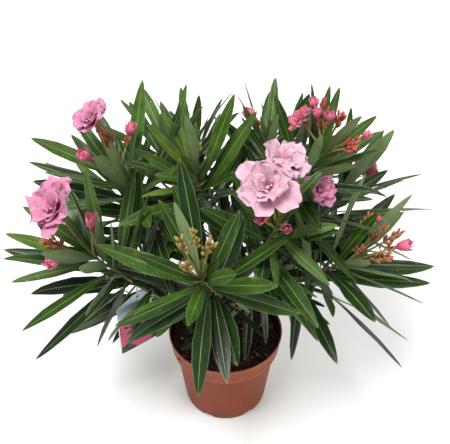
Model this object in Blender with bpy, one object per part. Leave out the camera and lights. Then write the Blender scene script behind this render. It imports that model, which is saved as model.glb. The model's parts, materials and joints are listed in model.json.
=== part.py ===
"""Potted oleander: a many-stemmed shrub with double flowers in a moulded nursery pot.

Metres, +Z up. The origin is the centre of the pot's flat underside.
"""
import math
import random
from typing import NamedTuple

import bmesh
import bpy
import numpy as np
from mathutils.bvhtree import BVHTree

# Pot and soil
POT_HEIGHT = 0.147
RIM_RADIUS = 0.090
COLLAR_HEIGHT = 0.031
COLLAR_FOOT_RADIUS = 0.0858
BODY_TOP_RADIUS = 0.0803
BASE_RADIUS = 0.0656
BASE_ROUND = 0.003
WALL = 0.002
FLOOR = 0.0085
POT_SIDES = 40
NOTCHES = 6
NOTCH_TURN = math.radians(-85.4)
NOTCH_WIDTH = 0.017
NOTCH_HEIGHT = 0.0065
NOTCH_DEPTH = 0.012
SOIL_TOP = 0.133
SOIL_SHOULDER = 0.055
SOIL_FALL = 0.003
GAP = 0.0003

# Trunk and boughs
TRUNK_FOOT = (-0.014, -0.016, SOIL_TOP + GAP)
TRUNK_FORK = (-0.004, -0.004, 0.178)
TRUNK_BOW = 0.003
TRUNK_RADIUS = 0.0085
FORK_RADIUS = 0.0070
FLARE = 0.0045
FLARE_HEIGHT = 0.010
TRUNK_SIDES = 10
TRUNK_STATIONS = 6
BOUGH_SIDES = 6
BOUGH_STATIONS = 7
BOUGH_ROOT_RADIUS = 0.0043
TWIG_ROOT_RADIUS = 0.0034
BOUGH_TIP_RADIUS = 0.0026
BOUGH_PULL = 0.36
BOUGH_STRAIGHT = 0.005

# Leafy stems and leaves
STEM_ROOT_RADIUS = 0.0024
STEM_TIP_RADIUS = 0.0017
STEM_STATIONS = 3
WHORL_LEAVES = 3
WHORL_TURN = math.radians(60)
WHORL_STAGGER = 0.12
LEAF_HALF_WIDTH = 0.069
LEAF_THICKNESS = 0.012
LEAF_LOW = 0.36
LEAF_HIGH = 0.74
LEAF_HIGH_WIDTH = 0.86
PETIOLE_HALF_WIDTH = 0.0013
LEAF_LOWEST_SLOPE = -0.18
LOW_LEAVES = 0.5
BLADE_START = 0.14
CLEARANCE = 0.0005
SEED = 40

# Flowers and buds
STALK_RADIUS = 0.0013
FLOWER_RADIUS = 0.031
FLOWER_SIDES = 7
HALF_OPEN_LENGTH = 0.026
HALF_OPEN_RADIUS = 0.0095
BUD_LENGTH = 0.024
BUD_RADIUS = 0.0030
BUDS_PER_TRUSS = 3
BUD_SPACING = 0.0032

# Hang label and its loop
LABEL_WIDTH = 0.074
LABEL_HEIGHT = 0.111
LABEL_PEAK_HALF = 0.008
LABEL_SHOULDER = 0.013
LABEL_CORNER = 0.004
LABEL_THICKNESS = 0.0012
LABEL_HOLE_RADIUS = 0.0030
LABEL_HOLE_DROP = 0.0060
LABEL_TURN = math.radians(38)
LOOP_RADIUS = 0.0007
LOOP_LENGTH = 0.027
LOOP_SIDES = 6
HOOK_AT = 0.93


class Shoot(NamedTuple):
    """A leafy shoot: where its bough springs, where its stem ends and how it is clad.

    The lowest leaves are shorter than the rest by low_leaf. A leader is one more leaf that stands
    on the stem's tip: its azimuth, elevation and length.
    """

    name: str
    parent: str
    along: float
    tip: tuple
    azimuth: float
    elevation: float
    stem: float
    whorls: int
    leaf: float
    turn: float
    open_low: float
    open_top: float
    low_leaf: float = 1.0
    leader: tuple = ()


# The azimuth runs from the front (-Y) towards +X; angles are in degrees.
SHOOTS = (
    Shoot("top", "trunk", 1.00, (-0.042, 0.016, 0.446), -26, 72, 0.125, 10, 0.145, 10, 86, 22),
    Shoot(
        "front", "trunk", 0.72, (-0.030, -0.122, 0.374), -24, 56, 0.085, 8, 0.164, 60, 84, 30, 0.62, (-172, 64, 0.168)
    ),
    Shoot("left", "trunk", 0.62, (-0.178, -0.066, 0.362), -70, 52, 0.085, 8, 0.166, 60, 78, 26, 0.88),
    Shoot("low_right", "trunk", 0.66, (0.168, -0.036, 0.324), 80, 34, 0.085, 8, 0.174, 110, 94, 30, 0.92),
    Shoot("upper_right", "trunk", 0.86, (0.130, 0.022, 0.472), 84, 62, 0.095, 8, 0.129, 20, 74, 10),
    Shoot("back_left_low", "trunk", 0.78, (-0.055, 0.165, 0.365), -165, 54, 0.080, 6, 0.149, 40, 86, 16),
    Shoot("upper_left", "top", 0.22, (-0.146, 0.016, 0.438), -76, 64, 0.085, 7, 0.160, 5, 100, 24),
    Shoot("back_left", "top", 0.40, (-0.085, 0.085, 0.443), -156, 62, 0.085, 6, 0.145, 90, 78, 32),
    Shoot("back_right", "top", 0.34, (0.062, 0.085, 0.447), 138, 76, 0.090, 7, 0.125, 70, 88, 30),
    Shoot("bloom", "upper_right", 0.30, (0.066, -0.065, 0.412), 42, 66, 0.090, 7, 0.144, 20, 76, 56),
    Shoot("right", "upper_right", 0.48, (0.124, 0.012, 0.384), 74, 52, 0.070, 6, 0.173, 35, 82, 50),
    Shoot("inner_right", "low_right", 0.34, (0.078, -0.005, 0.277), 74, 42, 0.065, 5, 0.144, 80, 94, 36, 0.8),
    Shoot("low_left", "left", 0.42, (-0.127, 0.000, 0.269), -68, 50, 0.065, 5, 0.154, 85, 88, 46, 0.8),
    Shoot("far_left", "left", 0.28, (-0.165, 0.110, 0.345), -131, 56, 0.080, 6, 0.147, 90, 90, 22),
    Shoot(
        "back_right_low", "back_left_low", 0.34, (0.091, 0.165, 0.374), 148, 46, 0.080, 6, 0.149, 115, 86, 24
    ),
    Shoot("far_right", "low_right", 0.22, (0.183, 0.105, 0.355), 134, 44, 0.080, 6, 0.149, 80, 80, 30),
    Shoot("low_back", "back_left_low", 0.55, (0.000, 0.135, 0.262), 166, 44, 0.060, 5, 0.143, 45, 88, 34),
    Shoot("side_right", "low_right", 0.52, (0.172, 0.050, 0.282), 88, 44, 0.060, 5, 0.153, 95, 96, 50, 0.8),
)


class Truss(NamedTuple):
    """A flower stalk on a shoot's tip: which way it grows, how far, what it ends in and how big."""

    shoot: str
    azimuth: float
    elevation: float
    length: float
    ends_in: str
    size: float


TRUSSES = (
    Truss("left", -48, 67, 0.113, "double", 1.15),
    Truss("left", -40, 31, 0.069, "half_open", 0.9),
    Truss("left", -62, 40, 0.076, "buds", 1.0),
    Truss("left", 16, 74, 0.075, "half_open", 1.0),
    Truss("upper_left", -59, 74, 0.103, "double", 0.8),
    Truss("upper_left", -55, 50, 0.062, "half_open", 0.9),
    Truss("upper_left", -104, 77, 0.065, "buds", 1.0),
    Truss("upper_left", 143, 66, 0.059, "half_open", 0.8),
    Truss("top", 154, 75, 0.035, "buds", 0.7),
    Truss("front", -48, 68, 0.094, "buds", 0.9),
    Truss("front", -20, 76, 0.104, "buds", 0.9),
    Truss("front", 20, 72, 0.090, "buds", 0.9),
    Truss("front", -34, 54, 0.066, "buds", 0.8),
    Truss("back_right", -100, 58, 0.040, "half_open", 0.9),
    Truss("bloom", -20, 67, 0.102, "double", 1.1),
    Truss("bloom", 30, 84, 0.112, "double", 0.85),
    Truss("bloom", -24, 48, 0.074, "half_open", 0.7),
    Truss("bloom", 10, 42, 0.066, "half_open", 0.6),
    Truss("bloom", 126, 68, 0.084, "buds", 0.9),
    Truss("right", 12, 67, 0.049, "double", 0.55),
    Truss("right", -36, 57, 0.052, "buds", 1.0),
    Truss("upper_right", -90, 63, 0.060, "double", 0.55),
    Truss("upper_right", -127, 77, 0.070, "half_open", 0.6),
    Truss("upper_right", -83, 81, 0.061, "half_open", 0.6),
    Truss("upper_right", 20, 80, 0.063, "half_open", 0.6),
    Truss("upper_right", -173, 78, 0.071, "buds", 0.8),
    Truss("upper_right", 97, 70, 0.059, "buds", 0.9),
    Truss("upper_right", 93, 52, 0.053, "half_open", 0.5),
    Truss("upper_right", 82, 34, 0.062, "half_open", 0.5),
    Truss("upper_right", 65, 31, 0.046, "buds", 0.9),
    Truss("low_right", 77, 33, 0.080, "half_open", 0.95),
    Truss("low_right", 102, 69, 0.080, "buds", 0.9),
    Truss("low_right", 106, 59, 0.080, "half_open", 0.35),
    Truss("low_right", 74, 57, 0.084, "buds", 0.9),
    Truss("low_right", 81, 43, 0.092, "buds", 0.9),
    Truss("low_right", 32, 58, 0.056, "buds", 0.9),
    Truss("low_right", 55, 34, 0.070, "buds", 1.1),
    Truss("back_right_low", 165, 4, 0.050, "double", 0.75),
    Truss("back_right_low", 120, 50, 0.060, "buds", 1.0),
    Truss("far_left", -120, 62, 0.070, "buds", 1.0),
    Truss("far_right", 140, 0, 0.050, "double", 0.75),
    Truss("back_left_low", -170, 34, 0.055, "half_open", 1.0),
)

# What a leaf tries in turn when its place is taken: more turn, more opening, length.
LEAF_TRIES = (
    (0, 0, 1.0),
    (14, 0, 1.0),
    (-14, 0, 1.0),
    (0, -14, 1.0),
    (0, 12, 0.95),
    (24, -8, 0.9),
    (-24, -8, 0.9),
    (0, -22, 0.8),
)

MATERIALS = {
    "pot": ((0.36, 0.105, 0.06, 1.0), 0.42),
    "soil": ((0.012, 0.008, 0.006, 1.0), 0.95),
    "bark": ((0.12, 0.10, 0.05, 1.0), 0.8),
    "leaves": ((0.045, 0.11, 0.03, 1.0), 0.45),
    "label": ((0.35, 0.45, 0.62, 1.0), 0.4),
    "loop": ((0.75, 0.75, 0.70, 1.0), 0.5),
}


def clear_scene():
    """Remove every object that the scene starts with."""
    for thing in list(bpy.data.objects):
        bpy.data.objects.remove(thing)


def unit(vector):
    """The vector at length one."""
    vector = np.asarray(vector, dtype=float)
    return vector / np.linalg.norm(vector)


def heading(azimuth, elevation):
    """Unit vector for an azimuth from the front (-Y) towards +X, and an elevation."""
    turn = math.radians(azimuth)
    rise = math.radians(elevation)
    return np.array([math.cos(rise) * math.sin(turn), -math.cos(rise) * math.cos(turn), math.sin(rise)])


def blend(low, high, share):
    """The value that lies a share of the way from low to high."""
    return low + (high - low) * share


def material(name):
    """The named finish, made once."""
    if name in bpy.data.materials:
        return bpy.data.materials[name]
    color, roughness = MATERIALS[name]
    made = bpy.data.materials.new(name)
    made.use_nodes = True
    shader = made.node_tree.nodes["Principled BSDF"]
    shader.inputs["Base Color"].default_value = color
    shader.inputs["Roughness"].default_value = roughness
    return made


def make_object(name, shape, finish="leaves"):
    """A mesh object from a (points, faces) shape, with its faces turned outwards."""
    points, faces = shape
    mesh = bpy.data.meshes.new(name)
    mesh.from_pydata([tuple(point) for point in points], [], faces)
    work = bmesh.new()
    work.from_mesh(mesh)
    bmesh.ops.recalc_face_normals(work, faces=work.faces)
    work.to_mesh(mesh)
    work.free()
    made = bpy.data.objects.new(name, mesh)
    mesh.materials.append(material(finish))
    bpy.context.scene.collection.objects.link(made)
    return made


def shade_round(thing, angle=50):
    """Shade an object smooth, keeping the edges sharper than an angle in degrees."""
    thing.data.shade_smooth()
    thing.data.set_sharp_from_angle(angle=math.radians(angle))


def split_shared_lines(work):
    """Give a middle corner to one of two flat faces that were cut along the same line."""
    for edge in [edge for edge in work.edges if len(edge.link_faces) > 2]:
        faces = list(edge.link_faces)
        first = faces.pop()
        second = max(faces, key=lambda face: face.normal.dot(first.normal))
        middle = work.verts.new((edge.verts[0].co + edge.verts[1].co) / 2)
        for face in (first, second):
            corners = list(face.verts)
            opposite = next(corner for corner in corners if corner not in edge.verts)
            place = corners.index(opposite)
            left = corners[(place + 1) % 3]
            right = corners[(place + 2) % 3]
            work.faces.remove(face)
            work.faces.new((opposite, left, middle))
            work.faces.new((opposite, middle, right))


def biggest_body(mesh):
    """Keep the largest closed body of a mesh in triangles: sealed hollows and scraps go."""
    work = bmesh.new()
    work.from_mesh(mesh)
    left = set(work.verts)
    bodies = []
    while left:
        front = [left.pop()]
        body = set(front)
        while front:
            corner = front.pop()
            for edge in corner.link_edges:
                other = edge.other_vert(corner)
                if other in left:
                    left.remove(other)
                    body.add(other)
                    front.append(other)
        bodies.append(body)
    bodies.sort(key=len, reverse=True)
    scraps = [corner for body in bodies[1:] for corner in body]
    bmesh.ops.delete(work, geom=scraps, context="VERTS")
    bmesh.ops.triangulate(work, faces=work.faces)
    split_shared_lines(work)
    work.to_mesh(mesh)
    work.free()


def combine(target, tools, operation, solver="EXACT"):
    """Apply one Boolean of a collection of tools to a target, then remove the tools."""
    group = bpy.data.collections.new("tools")
    bpy.context.scene.collection.children.link(group)
    for tool in tools:
        bpy.context.scene.collection.objects.unlink(tool)
        group.objects.link(tool)
    step = target.modifiers.new("combine", "BOOLEAN")
    step.operand_type = "COLLECTION"
    step.collection = group
    step.operation = operation
    step.solver = solver
    depsgraph = bpy.context.evaluated_depsgraph_get()
    result = bpy.data.meshes.new_from_object(target.evaluated_get(depsgraph))
    target.modifiers.clear()
    target.data = result
    for tool in tools:
        bpy.data.objects.remove(tool)
    bpy.data.collections.remove(group)
    biggest_body(target.data)


def turned(profile, sides):
    """Turn a profile of (radius, height) points, which starts and ends on the axis."""
    points = [(0.0, 0.0, profile[0][1])]
    for radius, height in profile[1:-1]:
        for side in range(sides):
            angle = 2 * math.pi * side / sides
            points.append((radius * math.cos(angle), radius * math.sin(angle), height))
    points.append((0.0, 0.0, profile[-1][1]))
    rings = len(profile) - 2
    faces = []
    for side in range(sides):
        after = (side + 1) % sides
        faces.append((0, 1 + after, 1 + side))
        for ring in range(rings - 1):
            low = 1 + ring * sides
            high = low + sides
            faces.append((low + side, low + after, high + after, high + side))
        last = 1 + (rings - 1) * sides
        faces.append((last + side, last + after, len(points) - 1))
    return points, faces


def frames_along(path):
    """Tangents and two side vectors at each point of a path, carried without twist."""
    path = np.asarray(path, dtype=float)
    tangents = np.gradient(path, axis=0)
    tangents /= np.linalg.norm(tangents, axis=1)[:, None]
    helper = np.array([0.0, 1.0, 0.0]) if abs(tangents[0][1]) < 0.8 else np.array([1.0, 0.0, 0.0])
    side = unit(np.cross(tangents[0], helper))
    sides = []
    for tangent in tangents:
        side = unit(side - tangent * np.dot(side, tangent))
        sides.append(side)
    sides = np.array(sides)
    return tangents, sides, np.cross(tangents, sides)


def tube(path, radii, sides):
    """A closed round limb: rings of points about a path, with flat ends."""
    _, across, upward = frames_along(path)
    points = []
    for centre, radius, first, second in zip(path, radii, across, upward):
        for side in range(sides):
            angle = 2 * math.pi * side / sides
            points.append(centre + radius * (math.cos(angle) * first + math.sin(angle) * second))
    count = len(path)
    faces = [tuple(range(sides))]
    for ring in range(count - 1):
        low = ring * sides
        high = low + sides
        for side in range(sides):
            after = (side + 1) % sides
            faces.append((low + side, low + after, high + after, high + side))
    faces.append(tuple(range((count - 1) * sides, count * sides)))
    return points, faces


def spindle(root, tip, radius, widest, sides):
    """A closed spindle from root to tip, widest a share of the way along."""
    path = np.array([root, tip], dtype=float)
    _, across, upward = frames_along(path)
    centre = blend(path[0], path[1], widest)
    points = [path[0]]
    for side in range(sides):
        angle = 2 * math.pi * side / sides
        points.append(centre + radius * (math.cos(angle) * across[0] + math.sin(angle) * upward[0]))
    points.append(path[1])
    faces = []
    for side in range(sides):
        after = (side + 1) % sides
        faces.append((0, 1 + after, 1 + side))
        faces.append((1 + side, 1 + after, sides + 1))
    return points, faces


def curve_between(start, start_way, end, end_way, count):
    """Points on a cubic curve that leaves start and reaches end along the given ways."""
    reach = np.linalg.norm(end - start) * BOUGH_PULL
    control = start + start_way * reach
    arrive = end - end_way * reach
    points = []
    for share in np.linspace(0.0, 1.0, count):
        rest = 1.0 - share
        points.append(
            rest**3 * start
            + 3 * rest**2 * share * control
            + 3 * rest * share**2 * arrive
            + share**3 * end
        )
    return np.array(points)


class Limb(NamedTuple):
    """A trunk or bough: its centre line and its radius at each point of that line."""

    name: str
    path: np.ndarray
    radii: np.ndarray
    sides: int

    def at(self, share):
        """Centre, direction and radius a share of the way along."""
        place = share * (len(self.path) - 1)
        low = min(int(place), len(self.path) - 2)
        rest = place - low
        centre = blend(self.path[low], self.path[low + 1], rest)
        way = unit(self.path[low + 1] - self.path[low])
        return centre, way, blend(self.radii[low], self.radii[low + 1], rest)

    def grown(self, extra):
        """The limb's shape, thicker all round and longer by extra."""
        path = self.path.copy()
        path[0] -= unit(path[1] - path[0]) * extra
        path[-1] += unit(path[-1] - path[-2]) * extra
        return tube(path, self.radii + extra, self.sides)


def pot_profile():
    """The pot's section: underside, outer wall, collar, rim and inner wall."""
    shelf = POT_HEIGHT - COLLAR_HEIGHT
    lip = 0.0006
    inner_base = BASE_RADIUS + (BODY_TOP_RADIUS - BASE_RADIUS) * FLOOR / shelf - WALL
    return [
        (0.0, 0.0),
        (BASE_RADIUS - BASE_ROUND, 0.0),
        (BASE_RADIUS - BASE_ROUND * 0.3, BASE_ROUND * 0.3),
        (BASE_RADIUS, BASE_ROUND),
        (BODY_TOP_RADIUS, shelf - BASE_ROUND * 0.5),
        (COLLAR_FOOT_RADIUS - lip, shelf),
        (COLLAR_FOOT_RADIUS, shelf + lip),
        (RIM_RADIUS, POT_HEIGHT - lip),
        (RIM_RADIUS - lip, POT_HEIGHT),
        (RIM_RADIUS - WALL, POT_HEIGHT - lip),
        (COLLAR_FOOT_RADIUS - WALL, shelf + WALL),
        (BODY_TOP_RADIUS - WALL, shelf),
        (inner_base, FLOOR),
        (0.0, FLOOR),
    ]


def build_pot():
    """The pot, turned, with notches cut round its foot where water drains."""
    pot = make_object("pot", turned(pot_profile(), POT_SIDES), "pot")
    cutters = []
    for index in range(NOTCHES):
        angle = NOTCH_TURN + math.pi / NOTCHES + 2 * math.pi * index / NOTCHES
        outward = np.array([math.cos(angle), math.sin(angle), 0.0])
        sideways = np.array([-math.sin(angle), math.cos(angle), 0.0])
        corners = []
        for reach in (BASE_RADIUS - NOTCH_DEPTH, BASE_RADIUS + NOTCH_DEPTH):
            for side in (-0.5, 0.5):
                for height in (-NOTCH_HEIGHT, NOTCH_HEIGHT):
                    corner = outward * reach + sideways * NOTCH_WIDTH * side
                    corners.append(corner + np.array([0.0, 0.0, height]))
        faces = [(0, 1, 3, 2), (4, 6, 7, 5), (0, 4, 5, 1), (2, 3, 7, 6), (0, 2, 6, 4), (1, 5, 7, 3)]
        cutters.append(make_object("notch", (corners, faces), "pot"))
    combine(pot, cutters, "DIFFERENCE")
    shade_round(pot, 35)
    return pot


def build_soil():
    """The soil that fills the pot to just under its rim."""
    shelf = POT_HEIGHT - COLLAR_HEIGHT
    slope = (BODY_TOP_RADIUS - BASE_RADIUS) / shelf
    clear = WALL + GAP
    foot = FLOOR + GAP
    edge = SOIL_TOP - SOIL_FALL
    edge_radius = blend(COLLAR_FOOT_RADIUS, RIM_RADIUS, (edge - shelf) / COLLAR_HEIGHT) - clear
    profile = [
        (0.0, foot),
        (BASE_RADIUS + slope * foot - clear, foot),
        (BODY_TOP_RADIUS - clear, shelf + GAP),
        (edge_radius - GAP, edge),
        (SOIL_SHOULDER, SOIL_TOP),
        (0.0, SOIL_TOP),
    ]
    soil = make_object("soil", turned(profile, POT_SIDES), "soil")
    shade_round(soil, 35)
    return soil


def trunk_limb():
    """The short trunk: flared at the soil, bowed a little, tapering to its fork."""
    shares = np.linspace(0.0, 1.0, TRUNK_STATIONS) ** 1.5
    foot = np.array(TRUNK_FOOT)
    fork = np.array(TRUNK_FORK)
    path = np.array([blend(foot, fork, share) for share in shares])
    path[:, 0] -= TRUNK_BOW * np.sin(np.pi * shares)
    radii = blend(TRUNK_RADIUS, FORK_RADIUS, shares)
    radii = radii + FLARE * np.exp(-(path[:, 2] - foot[2]) / FLARE_HEIGHT)
    return Limb("trunk", path, radii, TRUNK_SIDES)


def build_trunk(limb):
    """The trunk's solid, with its foot cut level with the soil."""
    points, faces = tube(limb.path, limb.radii, limb.sides)
    points = np.array(points)
    points[: limb.sides, 2] = TRUNK_FOOT[2]
    trunk = make_object("trunk", (points, faces), "bark")
    shade_round(trunk)
    return trunk


def shoot_base(shoot):
    """Where a shoot's leafy stem begins."""
    return np.array(shoot.tip) - heading(shoot.azimuth, shoot.elevation) * shoot.stem


def bough_limb(shoot, parent):
    """The bough that springs from its parent and ends where the leafy stem begins."""
    centre, way, thick = parent.at(shoot.along)
    lean = heading(shoot.azimuth, shoot.elevation)
    end = shoot_base(shoot)
    outward = unit(end - centre)
    from_top = shoot.along >= 1.0
    start_way = way if from_top else unit(outward + way * 0.6)
    start = centre + way * GAP if from_top else centre
    bend = curve_between(start, start_way, end - lean * BOUGH_STRAIGHT, lean, BOUGH_STATIONS - 1)
    path = np.vstack([bend, end])
    root_radius = BOUGH_ROOT_RADIUS if shoot.parent == "trunk" else TWIG_ROOT_RADIUS
    root_radius = min(root_radius, thick * 0.9)
    radii = np.linspace(root_radius, BOUGH_TIP_RADIUS, BOUGH_STATIONS)
    return Limb(shoot.name, path, radii, BOUGH_SIDES)


def near(one, other, margin):
    """Whether the boxes round two limbs come within a margin of each other."""
    low = np.maximum(one.path.min(axis=0), other.path.min(axis=0))
    high = np.minimum(one.path.max(axis=0), other.path.max(axis=0))
    return bool(np.all(low - high < margin))


def build_bough(limb, earlier):
    """A bough's solid, cut clear of the limbs that it springs from and passes."""
    bough = make_object("bough_" + limb.name, tube(limb.path, limb.radii, limb.sides), "bark")
    cutters = []
    for other in earlier:
        if near(limb, other, 0.02):
            cutters.append(make_object("cutter", other.grown(GAP), "bark"))
    if cutters:
        combine(bough, cutters, "DIFFERENCE")
    shade_round(bough)
    return bough


def leaf_path(root, way, length, sag, share):
    """A point of a leaf's midrib: out along its way, sinking with the square of the share."""
    return root + length * (share * way - np.array([0.0, 0.0, sag * share * share]))


def leaf_shape(root, way, across, length, sag, start=0.0, extra=0.0):
    """A leaf of sixteen faces: a keeled blade from a narrow stalk to its tip."""
    under = np.cross(across, way)
    if under[2] > 0:
        under = -under
    half = LEAF_HALF_WIDTH * length
    keel = LEAF_THICKNESS * length
    begun = start / LEAF_LOW
    stations = (
        (start, blend(PETIOLE_HALF_WIDTH, half, begun), blend(PETIOLE_HALF_WIDTH, keel, begun)),
        (LEAF_LOW, half, keel),
        (LEAF_HIGH, half * LEAF_HIGH_WIDTH, keel * LEAF_HIGH_WIDTH),
    )
    points = []
    for share, wide, deep in stations:
        centre = leaf_path(root, way, length, sag, share)
        points.append(centre - across * (wide + extra) - under * extra)
        points.append(centre + across * (wide + extra) - under * extra)
        points.append(centre + under * (deep + extra))
    points.append(leaf_path(root, way, length, sag, 1.0))
    faces = [(0, 1, 2)]
    for low in (0, 3):
        faces += [(low, low + 3, low + 4, low + 1)]
        faces += [(low + 1, low + 4, low + 5, low + 2)]
        faces += [(low + 2, low + 5, low + 3, low)]
    faces += [(6, 9, 7), (7, 9, 8), (8, 9, 6)]
    return points, faces


def tree_of(shape):
    """A search tree over one shape's faces."""
    points, faces = shape
    return BVHTree.FromPolygons([tuple(point) for point in points], faces)


def touches(shape, trees):
    """Whether a shape meets any of the shapes in the search trees."""
    tree = tree_of(shape)
    return any(tree.overlap(other) for other in trees)


def stem_path(shoot):
    """The leafy stem's centre line, which starts a gap beyond its bough's tip."""
    lean = heading(shoot.azimuth, shoot.elevation)
    base = shoot_base(shoot) + lean * GAP
    return np.linspace(base, np.array(shoot.tip), STEM_STATIONS)


def stem_shape(shoot):
    """The three-sided leafy stem."""
    radii = np.linspace(STEM_ROOT_RADIUS, STEM_TIP_RADIUS, STEM_STATIONS)
    return tube(stem_path(shoot), radii, 3)


def flower_shape(centre, way, radius):
    """An open double flower: a domed disc of ruffled edge on a pointed back."""
    _, across, upward = frames_along(np.array([centre, centre + way]))
    points = [centre - way * radius * 0.55]
    for reach, height in ((1.0, 0.0), (0.6, 0.34)):
        for side in range(FLOWER_SIDES):
            angle = 2 * math.pi * side / FLOWER_SIDES
            ray = math.cos(angle) * across[0] + math.sin(angle) * upward[0]
            points.append(centre + ray * radius * reach + way * radius * height)
    points.append(centre + way * radius * 0.42)
    faces = []
    for side in range(FLOWER_SIDES):
        after = (side + 1) % FLOWER_SIDES
        inner = FLOWER_SIDES
        faces.append((0, 1 + after, 1 + side))
        faces.append((1 + side, 1 + after, 1 + inner + after, 1 + inner + side))
        faces.append((1 + inner + side, 1 + inner + after, len(points) - 1))
    return points, faces


def truss_shapes(truss, index, tip):
    """The solids of one truss: its stalk and what it ends in."""
    rng = random.Random(SEED * 7 + index)
    way = heading(truss.azimuth, truss.elevation)
    end = tip + way * truss.length
    sunk = tip - way * STEM_TIP_RADIUS
    shapes = [tube(np.array([sunk, end]), np.array([STALK_RADIUS, STALK_RADIUS]), 3)]
    size = truss.size
    if truss.ends_in == "double":
        face = unit(way + heading(truss.azimuth, 20) * 0.4)
        radius = FLOWER_RADIUS * size
        shapes.append(flower_shape(end + way * radius * 0.4, face, radius))
    if truss.ends_in == "half_open":
        back = end - way * STALK_RADIUS
        shapes.append(spindle(back, end + way * HALF_OPEN_LENGTH * size, HALF_OPEN_RADIUS * size, 0.6, 6))
    if truss.ends_in == "buds":
        for bud in range(BUDS_PER_TRUSS):
            swing = heading(truss.azimuth + 144 * bud + rng.uniform(-15, 15), rng.uniform(-10, 35))
            bud_way = unit(way + swing * 0.75)
            back = end - way * (STALK_RADIUS + BUD_SPACING * bud)
            shapes.append(spindle(back, back + bud_way * BUD_LENGTH * size, BUD_RADIUS * size, 0.72, 4))
    return shapes


def leaf_length(shoot, share, rng):
    """Leaves are longest in the middle of a shoot, and shorter in its youngest whorl and lowest part."""
    if share < 0.8:
        factor = 0.84 + 0.20 * math.sin(math.pi * (share + 0.15))
    else:
        factor = 0.80
    factor *= blend(shoot.low_leaf, 1.0, min(1.0, share / LOW_LEAVES))
    return shoot.leaf * factor * rng.uniform(0.90, 1.06)


def leader_choices(shoot, root):
    """The poses that a shoot's leader may take in turn, its blade square to the shoot's lean."""
    azimuth, elevation, length = shoot.leader
    poses = []
    for more_turn, more_opening, scale in LEAF_TRIES:
        way = heading(azimuth + more_turn, elevation + more_opening)
        across = unit(np.cross(way, heading(shoot.azimuth, shoot.elevation)))
        poses.append((root, way, across, length * scale, 0.0))
    return poses


def leaf_choices(shoot, index):
    """Every leaf of a shoot in whorls of three, with the poses that it may take in turn."""
    rng = random.Random(SEED + index)
    lean = heading(shoot.azimuth, shoot.elevation)
    path = stem_path(shoot)
    level = unit(np.cross([0.0, 0.0, 1.0], lean))
    third = np.cross(lean, level)
    leaves = [leader_choices(shoot, path[-1])] if shoot.leader else []
    for whorl in range(shoot.whorls):
        for member in range(WHORL_LEAVES):
            share = (whorl + 0.5 + WHORL_STAGGER * (member - 1)) / shoot.whorls
            root = blend(path[0], path[-1], share)
            turn = math.radians(shoot.turn + rng.uniform(-12, 12)) + WHORL_TURN * whorl
            turn += 2 * math.pi * member / WHORL_LEAVES
            opening = math.radians(blend(shoot.open_low, shoot.open_top, share) + rng.uniform(-8, 8))
            length = leaf_length(shoot, share, rng)
            sag = blend(0.06, -0.03, share) + rng.uniform(-0.07, 0.07)
            roll = math.radians(rng.gauss(0, 16))
            poses = []
            for more_turn, more_opening, scale in LEAF_TRIES:
                angle = turn + math.radians(more_turn)
                spread = opening + math.radians(more_opening)
                side = math.cos(angle) * level + math.sin(angle) * third
                way = math.cos(spread) * lean + math.sin(spread) * side
                way = unit([way[0], way[1], max(way[2], LEAF_LOWEST_SLOPE)])
                flat = unit(np.cross(way, lean))
                face = np.cross(flat, way)
                across = flat * math.cos(roll) + face * math.sin(roll)
                poses.append((root, way, across, length * scale, sag))
            leaves.append(poses)
    return leaves


def grow_leaves(shoot, index, others, trusses):
    """The leaves of a shoot that find room, each in the first pose that touches nothing.

    A leaf's stalk grows from the stem, so only its blade is kept off the shoot's own parts.
    """
    shapes = []
    own = [tree_of(shape) for shape in trusses]
    for poses in leaf_choices(shoot, index):
        for pose in poses:
            blade = leaf_shape(*pose, start=BLADE_START, extra=CLEARANCE)
            whole = leaf_shape(*pose, extra=CLEARANCE)
            if touches(blade, own) or touches(whole, others):
                continue
            shapes.append(leaf_shape(*pose))
            own.append(tree_of(leaf_shape(*pose, start=BLADE_START)))
            break
    return shapes


def build_mass(shoot, skeleton, leaves):
    """One shoot's mass of foliage: stem, trusses and leaves joined by one union."""
    mass = make_object("foliage_" + shoot.name, skeleton[0], "leaves")
    tools = [make_object("piece", shape, "leaves") for shape in skeleton[1:] + leaves]
    combine(mass, tools, "UNION", "MANIFOLD")
    return mass


def build_loop(hook, way, radius):
    """The thin loop that hangs upright over a bough, square to it.

    A rising bough fills more of the loop's height, so the upper bend sits higher on it.
    """
    sideways = unit(np.cross(way, [0.0, 0.0, 1.0]))
    top = np.array([0.0, 0.0, 1.0])
    bend = (radius + GAP + LOOP_RADIUS) / math.cos(math.pi / (2 * (LOOP_SIDES - 1)))
    upper = hook + top * radius * (1.0 / math.hypot(way[0], way[1]) - 1.0)
    lower = upper - top * (LOOP_LENGTH - 2 * bend)
    points = []
    for centre, first_angle in ((upper, 0.0), (lower, math.pi)):
        for step in range(LOOP_SIDES):
            angle = first_angle + math.pi * step / (LOOP_SIDES - 1)
            points.append(centre + bend * (math.cos(angle) * sideways + math.sin(angle) * top))
    curve = bpy.data.curves.new("label_loop", "CURVE")
    curve.dimensions = "3D"
    curve.bevel_depth = LOOP_RADIUS
    curve.bevel_resolution = 0
    spline = curve.splines.new("POLY")
    spline.points.add(len(points) - 1)
    for place, point in zip(spline.points, points):
        place.co = (*point, 1.0)
    spline.use_cyclic_u = True
    loop = bpy.data.objects.new("label_loop", curve)
    curve.materials.append(material("loop"))
    bpy.context.scene.collection.objects.link(loop)
    return loop, lower - top * bend


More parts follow.
